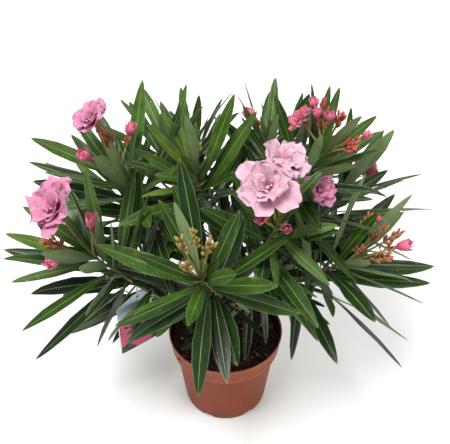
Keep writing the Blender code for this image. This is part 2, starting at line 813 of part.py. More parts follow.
def build_label(lowest):
    """The hang label: a thin plate with a pointed top, whose hole sits on the loop's lowest bend."""
    wide = np.array([math.cos(LABEL_TURN), math.sin(LABEL_TURN), 0.0])
    out = np.array([math.sin(LABEL_TURN), -math.cos(LABEL_TURN), 0.0])
    up = np.array([0.0, 0.0, 1.0])
    hole = lowest - up * (LABEL_HOLE_RADIUS - LOOP_RADIUS - GAP)
    peak = hole + up * LABEL_HOLE_DROP
    half = LABEL_WIDTH / 2
    outline = []
    for side in (1, -1):
        right = [
            (LABEL_PEAK_HALF, 0.0),
            (half, -LABEL_SHOULDER),
            (half, LABEL_CORNER - LABEL_HEIGHT),
            (half - LABEL_CORNER, -LABEL_HEIGHT),
        ]
        outline += [(side * across, rise) for across, rise in right[::side]]
    corners = []
    for face in (-0.5, 0.5):
        for across, rise in outline:
            corners.append(peak + wide * across + up * rise + out * LABEL_THICKNESS * face)
    count = len(outline)
    faces = [tuple(range(count)), tuple(range(count, 2 * count))]
    for place in range(count):
        after = (place + 1) % count
        faces.append((place, after, count + after, count + place))
    label = make_object("label", (corners, faces), "label")
    punch_path = np.array([hole - out * 0.005, hole + out * 0.005])
    punch = make_object("punch", tube(punch_path, np.full(2, LABEL_HOLE_RADIUS), 12), "label")
    combine(label, [punch], "DIFFERENCE")
    return label


def tree_of_object(thing):
    """A search tree over an object as it is evaluated."""
    depsgraph = bpy.context.evaluated_depsgraph_get()
    return BVHTree.FromObject(thing, depsgraph)


def main():
    """Build the pot, the limbs, the label and the masses of foliage."""
    clear_scene()
    solids = [build_pot(), build_soil()]
    limbs = {"trunk": trunk_limb()}
    solids.append(build_trunk(limbs["trunk"]))
    for shoot in SHOOTS:
        limb = bough_limb(shoot, limbs[shoot.parent])
        solids.append(build_bough(limb, list(limbs.values())))
        limbs[shoot.name] = limb
    loop, lowest = build_loop(*limbs["left"].at(HOOK_AT))
    solids += [loop, build_label(lowest)]
    fixed = [tree_of_object(solid) for solid in solids]
    skeletons = {}
    for shoot in SHOOTS:
        parts = [stem_shape(shoot)]
        for index, truss in enumerate(TRUSSES):
            if truss.shoot == shoot.name:
                parts += truss_shapes(truss, index, np.array(shoot.tip))
        skeletons[shoot.name] = parts
    grown = []
    for index, shoot in enumerate(SHOOTS):
        others = fixed + grown
        for name, parts in skeletons.items():
            if name != shoot.name:
                others += [tree_of(shape) for shape in parts]
        skeleton = skeletons[shoot.name]
        leaves = grow_leaves(shoot, index, others, skeleton[1:])
        grown += [tree_of(shape) for shape in leaves]
        build_mass(shoot, skeleton, leaves)


main()
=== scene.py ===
"""Potted oleander, dressed: leaves, flowers, buds, bark, soil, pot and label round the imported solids.

Metres, +Z up. The origin is the centre of the pot's flat underside, and -Y is the plant's front.
"""

import json
import logging
import math
import random
from dataclasses import dataclass, field
from enum import Enum
from typing import Any, Callable, NamedTuple, Self, Sequence

import bpy
import numpy as np
import numpy.typing as npt
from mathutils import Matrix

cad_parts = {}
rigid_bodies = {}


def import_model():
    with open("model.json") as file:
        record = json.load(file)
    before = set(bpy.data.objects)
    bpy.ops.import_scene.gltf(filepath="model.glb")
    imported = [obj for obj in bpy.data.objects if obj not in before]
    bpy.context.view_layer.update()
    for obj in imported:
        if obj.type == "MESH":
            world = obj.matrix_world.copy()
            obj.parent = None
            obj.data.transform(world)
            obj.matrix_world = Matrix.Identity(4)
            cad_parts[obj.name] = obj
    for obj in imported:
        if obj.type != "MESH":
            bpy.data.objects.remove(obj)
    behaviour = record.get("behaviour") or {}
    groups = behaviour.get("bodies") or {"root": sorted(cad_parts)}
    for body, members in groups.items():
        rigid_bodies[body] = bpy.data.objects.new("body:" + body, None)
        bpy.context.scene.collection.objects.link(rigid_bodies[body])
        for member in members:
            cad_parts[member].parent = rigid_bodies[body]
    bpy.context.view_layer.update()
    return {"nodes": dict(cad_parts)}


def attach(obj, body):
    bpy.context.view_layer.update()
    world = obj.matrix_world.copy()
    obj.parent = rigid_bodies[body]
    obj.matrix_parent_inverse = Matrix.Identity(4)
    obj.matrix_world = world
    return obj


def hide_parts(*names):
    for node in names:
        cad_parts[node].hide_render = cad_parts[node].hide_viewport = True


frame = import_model()

Array = npt.NDArray[np.float64]
Places = npt.NDArray[np.int64]
Colour = tuple[float, float, float, float]
Point = tuple[float, float, float]
Row = tuple[Any, ...]

log = logging.getLogger("oleander")

UP = np.array([0.0, 0.0, 1.0])

# The share of a shape's cell in the baking map that stays empty along each side.
CELL_MARGIN = 0.04

# GAP keeps the solids apart. A leaf is one of the solids' own where a corner of its mass lies nearer
# than that to its tip.
GAP = 0.0003

# The rule that both the solids and the leaves here grow by.
SEED = 40
WHORL_LEAVES = 3
WHORL_TURN = math.radians(60)
WHORL_STAGGER = 0.12
LEAF_LOWEST_SLOPE = -0.18
LOW_LEAVES = 0.5
BOUGH_PULL = 0.36
STALK_PULL = 0.3
LEAF_TRIES = (
    (0, 0, 1.0), (14, 0, 1.0), (-14, 0, 1.0), (0, -14, 1.0),
    (0, 12, 0.95), (24, -8, 0.9), (-24, -8, 0.9), (0, -22, 0.8),
)

# How far from all others the leaves keep that the solids don't have, and how the finer twigs stand
# along a bough and round it.
WIDE_ROOM = 0.006
TWIG_ROOM = 0.0055
YOUNG_ROOM = 0.0035
TWIG_SPACING = 0.034
GOLDEN_TURN = 2.4


# --- sums on arrays


def unit(vectors: Any) -> Array:
    """Vectors at length one, along the last axis."""
    vectors = np.asarray(vectors, dtype=float)
    return vectors / np.linalg.norm(vectors, axis=-1, keepdims=True)


def heading(azimuth: Any, elevation: Any) -> Array:
    """Unit vectors from angles in degrees.

    Args:
        azimuth: Turn from the front (-Y) towards +X.
        elevation: Rise above the horizon.

    Returns:
        The directions, with one more axis than the angles.
    """
    turn, rise = np.radians(azimuth), np.radians(elevation)
    level = np.cos(rise)
    return np.stack([level * np.sin(turn), -level * np.cos(turn), np.sin(rise) + 0 * turn], axis=-1)


def blend(low: Any, high: Any, share: Any) -> Any:
    """The value that lies a share of the way from low to high."""
    return low + (high - low) * share


def ease(value: Any, low: float, high: float) -> Array:
    """Smooth rise from 0 at low to 1 at high: 3t^2 - 2t^3."""
    part = np.clip((np.asarray(value, dtype=float) - low) / (high - low), 0.0, 1.0)
    return part * part * (3 - 2 * part)


def smooth_noise(places: Array, seed: int = 0) -> Array:
    """Random numbers at whole places, blended smoothly in between.

    Args:
        places: (..., 3) points, in cells.
        seed: Which set of random numbers.

    Returns:
        Values from -1 to 1, one for each point.
    """
    cell = np.floor(places).astype(np.int64)
    part = places - cell
    share = part * part * (3 - 2 * part)
    total = np.zeros(places.shape[:-1])
    for corner in range(8):
        step = np.array([corner & 1, corner >> 1 & 1, corner >> 2 & 1])
        at = (cell + step) * np.array([73856093, 19349663, 83492791])
        mixed = at[..., 0] ^ at[..., 1] ^ at[..., 2] ^ (seed * 40503 + 977)
        mixed = (mixed ^ (mixed >> 13)) * 1274126177
        value = ((mixed ^ (mixed >> 16)) & 0xFFFF) / 32767.5 - 1.0
        total += value * np.prod(np.where(step, share, 1 - share), axis=-1)
    return total


def layered_noise(places: Array, seed: int = 0, layers: int = 3) -> Array:
    """Smooth noise with finer and weaker layers added: the sum of noise(2^k p) / 2^k."""
    return sum(smooth_noise(places * 2.0**layer, seed + layer) / 2.0**layer for layer in range(layers))


def frames_along(paths: Array) -> tuple[Array, Array, Array]:
    """Directions and two side vectors along paths, carried without twist.

    Args:
        paths: (shapes, rows, 3) centre lines.

    Returns:
        Three arrays of that shape: along, first side and second side, right-handed in the
        order first, second, along.
    """
    along = unit(np.gradient(paths, axis=1))
    helper = np.where(np.abs(along[:, :1, 1:2]) < 0.8, np.array([0.0, 1.0, 0.0]), np.array([1.0, 0.0, 0.0]))
    side = unit(np.cross(along[:, 0], helper[:, 0]))
    sides = []
    for row in range(paths.shape[1]):
        way = along[:, row]
        side = unit(side - way * np.sum(side * way, axis=-1, keepdims=True))
        sides.append(side)
    first = np.stack(sides, axis=1)
    return along, first, np.cross(along, first)


def cubic(start: Array, start_way: Array, end: Array, end_way: Array, rows: int, pull: float) -> Array:
    """Points on a cubic curve: (1-s)^3 a + 3 (1-s)^2 s b + 3 (1-s) s^2 c + s^3 d.

    Args:
        start: Where it begins.
        start_way: The direction in which it leaves.
        end: Where it ends.
        end_way: The direction in which it arrives.
        rows: How many points.
        pull: How far the ways hold it, as a share of the whole distance.

    Returns:
        (rows, 3) points.
    """
    reach = np.linalg.norm(end - start, axis=-1, keepdims=True) * pull
    control, arrive = start + start_way * reach, end - end_way * reach
    share = np.linspace(0.0, 1.0, rows)[:, None]
    rest = 1.0 - share
    return rest**3 * start + 3 * rest**2 * share * control + 3 * rest * share**2 * arrive + share**3 * end


def side_way(first: Array, second: Array, turn: float) -> Array:
    """The direction at a turn from first towards second, two unit vectors square to each other."""
    return math.cos(turn) * first + math.sin(turn) * second


def turned(side: Array, face: Array, turn: Array) -> tuple[Array, Array]:
    """Two directions square to each other, turned in their own plane: s cos + f sin, f cos - s sin."""
    cos, sin = np.cos(turn), np.sin(turn)
    return side * cos + face * sin, face * cos - side * sin


def circle(count: int) -> Array:
    """Angles of a number of points spread evenly round a circle."""
    return 2 * math.pi * np.arange(count) / count


# --- faces and pieces


@dataclass(frozen=True)
class Weave:
    """How the points of one shape join into faces.

    Attributes:
        corners: (faces, 4) point numbers; a triangle has -1 last.
        places: (faces, 4, 2) place across and along of each corner, from 0 to 1.
        column: Which column of the grid each face is in.
        row: Which row of the grid each face is in.
    """

    corners: Places
    places: Array
    column: Places
    row: Places

    @staticmethod
    def ring(
        rows: int,
        columns: int,
        edges: Sequence[float] | None = None,
        along: Sequence[float] | None = None,
        poles: tuple[bool, bool] = (True, True),
        looped: bool = False,
    ) -> "Weave":
        """Rings of points round a path, closed round, with poles at its ends.

        Point (row, column) has number row * columns + column, and the poles come after them.

        Args:
            rows: Rings of points.
            columns: Points in a ring, counted the way that a screw turns along the path.
            edges: columns + 1 places across, from 0 to 1; even by default.
            along: A place along for each ring; even by default.
            poles: Whether the path's start and end are closed by a point each.
            looped: Whether the last ring joins the first.

        Returns:
            The weave, its faces outwards.
        """
        across = np.linspace(0, 1, columns + 1) if edges is None else np.asarray(edges, dtype=float)
        steps = np.linspace(0, 1, rows + looped) if along is None else np.asarray(along, dtype=float)
        row, column = (grid.ravel() for grid in np.mgrid[0 : rows - 1 + looped, 0:columns])
        low, high, after = row * columns, (row + 1) % rows * columns, (column + 1) % columns
        corners = [np.stack([low + column, low + after, high + after, high + column], 1)]
        wide = across[np.stack([column, column + 1, column + 1, column], 1)]
        tall = steps[np.stack([row, row, row + 1, row + 1], 1)]
        places, in_column, in_row = [np.stack([wide, tall], -1)], [column], [row]
        one, two = np.arange(columns), np.arange(columns) + 1
        middle = (across[:-1] + across[1:]) / 2
        for which, ring, left, right in ((0, 0, two, one), (1, rows - 1, one, two)):
            if poles[which]:
                pole = rows * columns + (which and poles[0])
                foot = ring * columns
                corners.append(
                    np.stack(np.broadcast_arrays(pole, foot + left % columns, foot + right % columns, -1), 1)
                )
                wide = np.stack([middle, across[left], across[right], middle], 1)
                places.append(np.stack([wide, wide * 0 + [which, steps[ring], steps[ring], which]], -1))
                in_column.append(one)
                in_row.append(0 * one + ring)
        return Weave(*(np.concatenate(part) for part in (corners, places, in_column, in_row)))

    @staticmethod
    def lens(rows: int, columns: int) -> "Weave":
        """Two skins that share one rim, for a thin petal.

        Front point (row, column) has number row * columns + column. The back skin's inner points
        come after them, row by row.

        Args:
            rows: Points along.
            columns: Points across.

        Returns:
            The weave. Places across are 0 to 0.5 on the front and 0.5 to 1 on the back.
        """
        front = np.arange(rows * columns).reshape(rows, columns)
        back = front.copy()
        back[1:-1, 1:-1] = rows * columns + np.arange((rows - 2) * (columns - 2)).reshape(rows - 2, -1)
        row, column = (grid.ravel() for grid in np.mgrid[0 : rows - 1, 0 : columns - 1])
        down = np.stack([row, row, row + 1, row + 1], 1)
        across = np.stack([column, column + 1, column + 1, column], 1)
        wide, tall = across / (columns - 1), down / (rows - 1)
        turned = [0, 3, 2, 1]
        corners = np.concatenate([front[down, across], back[down, across][:, turned]])
        skins = np.stack([wide / 2, tall], -1), np.stack([1 - wide[:, turned] / 2, tall[:, turned]], -1)
        in_column = np.concatenate([column, column + columns - 1])
        return Weave(corners, np.concatenate(skins), in_column, np.tile(row, 2))


@dataclass
class Batch:
    """Shapes of one weave.

    Attributes:
        points: (shapes, points, 3).
        weave: How they join.
        slots: (shapes, faces) finish numbers.
        tall: Height over width of a shape's cell in the map.
        skin: (faces, 4, 2) places for the finish to read.
    """

    points: Array
    weave: Weave
    slots: Places
    tall: float
    skin: Array


@dataclass
class Sheaf:
    """Gathers many shapes and makes one piece of them.

    Attributes:
        name: The piece's name.
        batches: What has been put in.
    """

    name: str
    batches: list[Batch] = field(default_factory=list)

    def add(self, points: Array, weave: Weave, slots: Any, tall: float, skin: Array | None = None) -> None:
        """Put in one shape or many that share a weave.

        Args:
            points: (points, 3) or (shapes, points, 3).
            weave: How they join.
            slots: Finish numbers: one, one for each face, or (shapes, faces).
            tall: Height over width of a shape's cell in the map.
            skin: (faces, 4, 2) places for the finish to read, if not the weave's own.
        """
        points = points if points.ndim == 3 else points[None]
        if len(points):
            slots = np.broadcast_to(slots, (len(points), len(weave.corners)))
            self.batches.append(Batch(points, weave, slots, tall, weave.places if skin is None else skin))

    def cells(self) -> list[Array]:
        """Give every shape a cell of its own in one square map.

        Returns:
            For each batch, (shapes, 4): left, bottom, width and height of the cells.
        """
        weights = np.array([batch.slots.size for batch in self.batches], dtype=float)
        heights = weights / weights.sum()
        bottoms = np.concatenate([[0.0], np.cumsum(heights)[:-1]])
        found = []
        for batch, height, bottom in zip(self.batches, heights, bottoms):
            count = len(batch.points)
            wide = min(count, max(1, round(math.sqrt(count * batch.tall / height))))
            high = math.ceil(count / wide)
            place = np.arange(count)
            cell = np.array([1.0 / wide, height / high])
            corner = np.stack([place % wide / wide, bottom + place // wide * cell[1]], 1)
            margin = cell * CELL_MARGIN
            found.append(np.concatenate([corner + margin, np.broadcast_to(cell - 2 * margin, (count, 2))], 1))
        return found

    def build(self, finishes: Sequence["Finish"], sharp: float | None = None) -> bpy.types.Object:
        """Make the mesh, with its finishes and two maps, and link it.

        Args:
            finishes: What the finish numbers stand for.
            sharp: Edges over this angle in degrees stay sharp; all are smooth by default.

        Returns:
            The new object, at the origin.
        """
        points, corners, slots, skins, bakes = [], [], [], [], []
        start = 0
        for batch, cells in zip(self.batches, self.cells()):
            shapes, size = batch.points.shape[:2]
            offset = start + np.arange(shapes)[:, None, None] * size
            faces = batch.weave.corners[None]
            points.append(batch.points.reshape(-1, 3))
            corners.append(np.where(faces < 0, -1, faces + offset).reshape(-1, 4))
            slots.append(batch.slots.ravel())
            skins.append(np.broadcast_to(batch.skin, (shapes, *batch.skin.shape)).reshape(-1, 4, 2))
            cells = cells[:, None, None]
            bakes.append((cells[..., :2] + batch.skin * cells[..., 2:]).reshape(-1, 4, 2))
            start += shapes * size
        at, faces = np.concatenate(points), np.concatenate(corners)
        shown = faces >= 0
        totals = shown.sum(1)
        starts = np.concatenate([[0], np.cumsum(totals)[:-1]])
        mesh = bpy.data.meshes.new(self.name)
        mesh.vertices.add(len(at))
        mesh.vertices.foreach_set("co", at.astype(np.float32).ravel())
        mesh.loops.add(int(shown.sum()))
        mesh.loops.foreach_set("vertex_index", faces[shown].astype(np.int32))
        mesh.polygons.add(len(faces))
        mesh.polygons.foreach_set("loop_start", starts.astype(np.int32))
        mesh.polygons.foreach_set("loop_total", totals.astype(np.int32))
        mesh.polygons.foreach_set("material_index", np.concatenate(slots).astype(np.int32))
        for title, where in (("Skin", skins), ("OFBake", bakes)):
            layer = mesh.uv_layers.new(name=title)
            layer.data.foreach_set("uv", np.concatenate(where)[shown].astype(np.float32).ravel())
        mesh.update(calc_edges=True)
        mesh.shade_smooth()
        if sharp is not None:
            mesh.set_sharp_from_angle(angle=math.radians(sharp))
        for finish in finishes:
            mesh.materials.append(finish.material())
        made = bpy.data.objects.new(self.name, mesh)
        bpy.context.scene.collection.objects.link(made)
        return made


def fit(piece: bpy.types.Object, slot: str, *nodes: str) -> None:
    """Carry a piece on the plant's one body and hide the solids it stands for.

    Args:
        piece: The piece.
        slot: Not used.
        nodes: The solids.
    """
    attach(piece, "root")
    if nodes:
        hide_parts(*nodes)
    faces = sum(len(polygon.vertices) - 2 for polygon in piece.data.polygons)
    log.info("%s: %d triangles", piece.name, faces)


def tubes(paths: Array, radii: Array, columns: int, relief: Array | float = 0.0) -> Array:
    """Round limbs: a circle of each radius carried along each path, with its ends closed.

    Args:
        paths: (shapes, rows, 3) centre lines.
        radii: (shapes, rows) radii.
        columns: Points in a ring.
        relief: (shapes, rows, columns) lift of the skin, added to the radius.

    Returns:
        (shapes, rows * columns + 2, 3) points for Weave.ring.
    """
    _, first, second = frames_along(paths)
    angle = circle(columns)[:, None]
    reach = radii[:, :, None] + relief
    spoke = np.cos(angle) * first[:, :, None] + np.sin(angle) * second[:, :, None]
    rings = paths[:, :, None] + spoke * reach[..., None]
    return with_poles(rings, paths[:, :1], paths[:, -1:])


def with_poles(rings: Array, start: Array, end: Array) -> Array:
    """Rings of points (shapes, rows, columns, 3) as one list for each shape, with its two poles last."""
    return np.concatenate([rings.reshape(len(rings), -1, 3), start, end], axis=1)


# --- shading


def lit(share: float) -> float:
    """The light in a screen value from 0 to 1: v / 12.92 when dark, else ((v + 0.055) / 1.055)^2.4."""
    return share / 12.92 if share <= 0.04045 else ((share + 0.055) / 1.055) ** 2.4


def paint(red: float, green: float, blue: float) -> Colour:
    """A colour for the shader from the 0 to 255 numbers of a colour chart."""
    return (lit(red / 255.0), lit(green / 255.0), lit(blue / 255.0), 1.0)


def shade(colour: Colour, factor: float) -> Colour:
    """The colour made lighter or darker by a factor."""
    red, green, blue = (min(1.0, part * factor) for part in colour[:3])
    return (red, green, blue, 1.0)


def sign(operation: str, turned: bool = False) -> Callable[["Wire", "Number"], "Wire"]:
    """One of Python's signs, made to work on wires.

    Args:
        operation: What the Math node does.
        turned: Whether the other value comes first, as in 1 - wire.

    Returns:
        The method that adds the node.
    """

    def apply(wire: "Wire", other: "Number") -> "Wire":
        """The result for a wire and another value."""
        return wire.bench.math(operation, *((other, wire) if turned else (wire, other)))

    return apply


@dataclass(frozen=True)
class Wire:
    """A node's output that Python's signs work on, each adding a Math node.

    Attributes:
        bench: The material's bench.
        socket: The output.
    """

    bench: "Bench"
    socket: bpy.types.NodeSocket

    __add__ = __radd__ = sign("ADD")
    __sub__ = sign("SUBTRACT")
    __rsub__ = sign("SUBTRACT", turned=True)
    __mul__ = __rmul__ = sign("MULTIPLY")
    __pow__ = sign("POWER")

    def __abs__(self) -> "Wire":
        """Distance from nought."""
        return self.bench.math("ABSOLUTE", self)

    def wave(self) -> "Wire":
        """The sine of the value, brought between 0 and 1."""
        return self.bench.math("SINE", self) * 0.5 + 0.5

    def rise(self, low: float, high: float) -> "Wire":
        """Smooth step from 0 at low to 1 at high, or from 1 down to 0 where low is the greater.

        Args:
            low: The value at which the step is 0.
            high: The value at which it is 1.

        Returns:
            The step.
        """
        (start, first), (end, last) = sorted([(low, 0.0), (high, 1.0)])
        sockets = {"Value": self, "From Min": start, "From Max": end, "To Min": first, "To Max": last}
        return self.bench.node("ShaderNodeMapRange", {"interpolation_type": "SMOOTHSTEP"}, sockets)


Number = Wire | float


class Bench:
    """One material in the making: every node is made here, and its sockets are filled."""

    def __init__(self, name: str) -> None:
        """Start a material of a name with a Principled shader."""
        self.made = bpy.data.materials.new(name)
        self.made.use_nodes = True

    def node(self, kind: str, settings: dict[str, Any], sockets: dict[Any, Any], which: Any = 0) -> Wire:
        """Make a node.

        Args:
            kind: The node's type.
            settings: Its properties, which are set first.
            sockets: Values or wires for its inputs, by name or number.
            which: The output that is wanted, by name or number.

        Returns:
            A wire from that output.
        """
        made = self.made.node_tree.nodes.new(kind)
        for title, value in settings.items():
            setattr(made, title, value)
        self.fill(made, sockets)
        return Wire(self, made.outputs[which])

    def fill(self, node: bpy.types.Node, sockets: dict[Any, Any]) -> None:
        """Set a node's inputs to values, or link wires to them.

        Args:
            node: The node.
            sockets: Values or wires, by the input's name or number.
        """
        for title, value in sockets.items():
            if isinstance(value, Wire):
                self.made.node_tree.links.new(value.socket, node.inputs[title])
            else:
                node.inputs[title].default_value = value

    def math(self, operation: str, *values: Number) -> Wire:
        """A Math node's result for one or two values."""
        return self.node("ShaderNodeMath", {"operation": operation}, dict(enumerate(values)))

    def mix(self, share: Number, low: Any, high: Any) -> Wire:
        """A colour that goes from low to high with a share."""
        return self.node("ShaderNodeMix", {"data_type": "RGBA"}, {"Factor": share, 6: low, 7: high}, 2)

    def parts(self, vector: Wire) -> list[Wire]:
        """The three parts of a vector."""
        parts = self.node("ShaderNodeSeparateXYZ", {}, {0: vector}).socket.node
        return [Wire(self, socket) for socket in parts.outputs]

    def skin(self) -> list[Wire]:
        """The places across and along on a shape's own skin."""
        return self.parts(self.node("ShaderNodeUVMap", {"uv_map": "Skin"}, {}))[:2]

    def place(self, *size: float) -> Wire:
        """The place in metres on the whole plant, with each direction scaled where a size is given."""
        place = self.node("ShaderNodeTexCoord", {}, {}, "Object")
        return self.node("ShaderNodeMapping", {}, {"Vector": place, "Scale": size}) if size else place

    def noise(self, scale: float, detail: float = 2.0, at: Wire | None = None, rough: float = 0.5) -> Wire:
        """Cloudy values about 0.5, with scale cells to the metre."""
        sockets = {"Vector": at or self.place(), "Scale": scale, "Detail": detail, "Roughness": rough}
        return self.node("ShaderNodeTexNoise", {}, sockets)

    def grains(self, scale: float) -> Wire:
        """Distance from the middle of the nearest of scattered grains, scale to the metre."""
        return self.node("ShaderNodeTexVoronoi", {}, {"Vector": self.place(), "Scale": scale})

    def close(self, colour: Wire, rough: Wire, relief: Wire, depth: float, shine: float, **more: Any) -> None:
        """Fill the shader's sockets.

        Args:
            colour: The base colour.
            rough: The roughness.
            relief: The height of the skin.
            depth: How many metres proud a height of 1 stands.
            shine: The specular level.
            more: Other sockets, by name with lines for blanks.
        """
        sockets = {"Height": relief, "Distance": depth, "Strength": 1.0}
        others = {title.replace("_", " "): value for title, value in more.items()}
        sockets = {"Normal": self.node("ShaderNodeBump", {}, sockets), "Specular IOR Level": shine, **others}
        shader = self.made.node_tree.nodes["Principled BSDF"]
        self.fill(shader, {"Base Color": colour, "Roughness": rough, **sockets})


@dataclass(frozen=True)
class Finish:
    """A surface that can be painted on a piece. Each kind's dress method works out its nodes.

    Attributes:
        name: The material's name.
        tint: Its plain colour.
    """

    name: str
    tint: Colour

    def material(self) -> bpy.types.Material:
        """Make the material, or find it where it has been made.

        Returns:
            The material.
        """
        if self.name not in bpy.data.materials:
            self.dress()
        return bpy.data.materials[self.name]

    def dress(self) -> None:
        """Work out the material's nodes."""
        raise NotImplementedError


@dataclass(frozen=True)
class LeafBlade(Finish):
    """The upper skin of a leaf: a waxy green with a pale margin, ladders of side veins and lime specks."""

    def dress(self) -> None:
        """Veins run outward and forward from the rib: a sine of the places along and across."""
        bench = Bench(self.name)
        across, along = bench.skin()
        out = abs((across - 0.25) * 4.0)
        blotch = bench.noise(55.0, 3.0)
        ladder = ((along * 34.0 + out * 1.5 + blotch * 0.8) * (2 * math.pi)).wave()
        lime = bench.grains(190.0).rise(0.17, 0.08) * bench.noise(30.0).rise(0.55, 0.66)
        body = bench.mix(blotch.rise(0.34, 0.68), shade(self.tint, 0.70), shade(self.tint, 1.25))
        veined = bench.mix((ladder**4.0) * 0.48, body, shade(self.tint, 2.2))
        near_rib = bench.mix(out.rise(0.30, 0.05) * 0.35, veined, shade(self.tint, 1.6))
        edged = bench.mix(out.rise(0.88, 0.98) * 0.5, near_rib, paint(112, 136, 80))
        limed = bench.mix(lime * 0.7, edged, paint(190, 198, 172))
        tipped = bench.mix(along.rise(0.95, 1.0) * 0.5, limed, paint(150, 128, 70))
        relief = ladder * 0.45 + bench.noise(900.0, 1.0) * 0.25 + out.rise(0.9, 1.0) * 0.4
        bench.close(tipped, blotch * 0.14 + 0.27 + ladder * 0.05, relief, 0.00016, 0.30)


class LeafBack(Finish):
    """The dull pale underside of a leaf."""

    def dress(self) -> None:
        """The side veins are darker here, between minute pale pores."""
        bench = Bench(self.name)
        across, along = bench.skin()
        out = abs((across - 0.75) * 4.0)
        ladder = ((along * 48.0 + out * 1.6) * (2 * math.pi)).wave()
        pores = bench.noise(1500.0, 1.0)
        blotch = bench.noise(60.0, 3.0)
        body = bench.mix(blotch.rise(0.32, 0.7), shade(self.tint, 0.84), shade(self.tint, 1.12))
        netted = bench.mix((ladder**3.0) * 0.3, body, shade(self.tint, 0.74))
        ribbed = bench.mix(out.rise(0.12, 0.0) * 0.8, netted, shade(self.tint, 1.35))
        bench.close(ribbed, pores * 0.2 + 0.55, ladder * 0.4 + pores * 0.3, 0.00012, 0.3)


class LeafRib(Finish):
    """The pale rib down a leaf's middle."""

    def dress(self) -> None:
        """Greener and thinner looking towards the tip."""
        bench = Bench(self.name)
        _, along = bench.skin()
        fleck = bench.noise(260.0)
        body = bench.mix(along.rise(0.15, 1.0), shade(self.tint, 1.12), shade(self.tint, 0.72))
        flecked = bench.mix(fleck * 0.3, body, shade(self.tint, 0.75))
        bench.close(flecked, fleck * 0.2 + 0.38, fleck, 0.0001, 0.5)


@dataclass(frozen=True)
class StemSkin(Finish):
    """Leafy stems and flower stalks: smooth, with fine ribs along them and small pale pores.

    Attributes:
        flush: The colour that they are flushed with in patches.
    """

    flush: Colour

    def dress(self) -> None:
        """Ribs are a sine of the place across, and the flush is broad noise."""
        bench = Bench(self.name)
        across, _ = bench.skin()
        ribs = (across * (2 * math.pi * 7)).wave()
        patch = bench.noise(70.0, 3.0)
        pore = bench.grains(700.0).rise(0.25, 0.1)
        body = bench.mix(patch.rise(0.4, 0.66), self.tint, self.flush)
        pored = bench.mix(pore * 0.4, body, shade(self.tint, 1.6))
        bench.close(pored, patch * 0.2 + 0.42, ribs * 0.6 + pore * 0.4, 0.00015, 0.5)


@dataclass(frozen=True)
class BarkSkin(Finish):
    """Young woody bark: olive to grey-brown, with long cracks and corky dots.

    Attributes:
        old: The grey-brown of old wood, which takes over towards the soil.
    """

    old: Colour

    def dress(self) -> None:
        """Streaks are noise drawn out along z, and corky dots are scattered grains."""
        bench = Bench(self.name)
        streak = bench.noise(190.0, 4.0, bench.place(1.0, 1.0, 0.22), 0.62)
        dot = bench.grains(420.0).rise(0.30, 0.14)
        age = (bench.parts(bench.place())[2] + bench.noise(60.0, 3.0) * 0.06).rise(0.30, 0.19)
        wood = bench.mix(age, self.tint, self.old)
        lined = bench.mix(streak.rise(0.38, 0.62), shade(self.old, 0.45), wood)
        dotted = bench.mix(dot * 0.45, lined, shade(self.tint, 1.7))
        bench.close(dotted, streak * 0.25 + 0.6, streak * 0.7 + dot * 0.5, 0.0006, 0.25)


@dataclass(frozen=True)
class PetalSkin(Finish):
    """A petal: thin and velvety, deeper in its throat, paler at its ruffled edge, which has its tint.

    Attributes:
        heart: Colour at the base.
        streak: Colour of the fine lines.
        margin: How much paler the margin is than the rest.
    """

    heart: Colour
    streak: Colour
    margin: float

    def dress(self) -> None:
        """Lines are a sine of the place across, fading to the edge."""
        bench = Bench(self.name)
        across, along = bench.skin()
        cloud = bench.noise(160.0, 3.0)
        lines = ((across * 46.0 + cloud * 2.5) * math.pi).wave()
        body = bench.mix((along + cloud * 0.5).rise(0.30, 1.0), self.heart, self.tint)
        veined = bench.mix((lines**2.0) * along.rise(1.0, 0.35) * 0.45, body, self.streak)
        crisp = bench.noise(420.0, 3.0)
        out = abs(abs(across * 4.0 - 2.0) - 1.0)
        rim = bench.mix(out.rise(0.66, 1.0) * self.margin, veined, shade(self.tint, 1.35))
        rim = bench.mix(along.rise(0.84, 1.0) * self.margin, rim, shade(self.tint, 1.35))
        crisped = bench.mix(crisp.rise(0.5, 0.8) * 0.3, rim, shade(self.tint, 1.12))
        radius = (0.004, 0.0018, 0.0018)
        soft = {"Subsurface_Weight": 0.18, "Subsurface_Radius": radius, "Subsurface_Scale": 0.6}
        relief = lines * 0.12 + crisp * 0.88
        bench.close(crisped, cloud * 0.2 + 0.5, relief, 0.0011, 0.25, Sheen_Weight=0.15, **soft)


@dataclass(frozen=True)
class BudSkin(Finish):
    """A closed bud, rolled in a spiral whose edges catch the light. Its tint is that of its upper half.

    Attributes:
        foot: Colour by the calyx.
    """

    foot: Colour

    def dress(self) -> None:
        """Rolled edges are a sine of the place across plus the place along."""
        bench = Bench(self.name)
        across, along = bench.skin()
        roll = ((across * 5.0 + along * 1.2) * (2 * math.pi)).wave()
        cloud = bench.noise(240.0)
        body = bench.mix((along + cloud * 0.4).rise(0.3, 1.0), self.foot, self.tint)
        rolled = bench.mix((roll**3.0) * 0.35, body, shade(self.tint, 0.62))
        soft = {"Subsurface_Weight": 0.1, "Subsurface_Radius": (0.003, 0.002, 0.001), "Subsurface_Scale": 0.3}
        bench.close(rolled, cloud * 0.15 + 0.42, roll, 0.0003, 0.5, **soft)


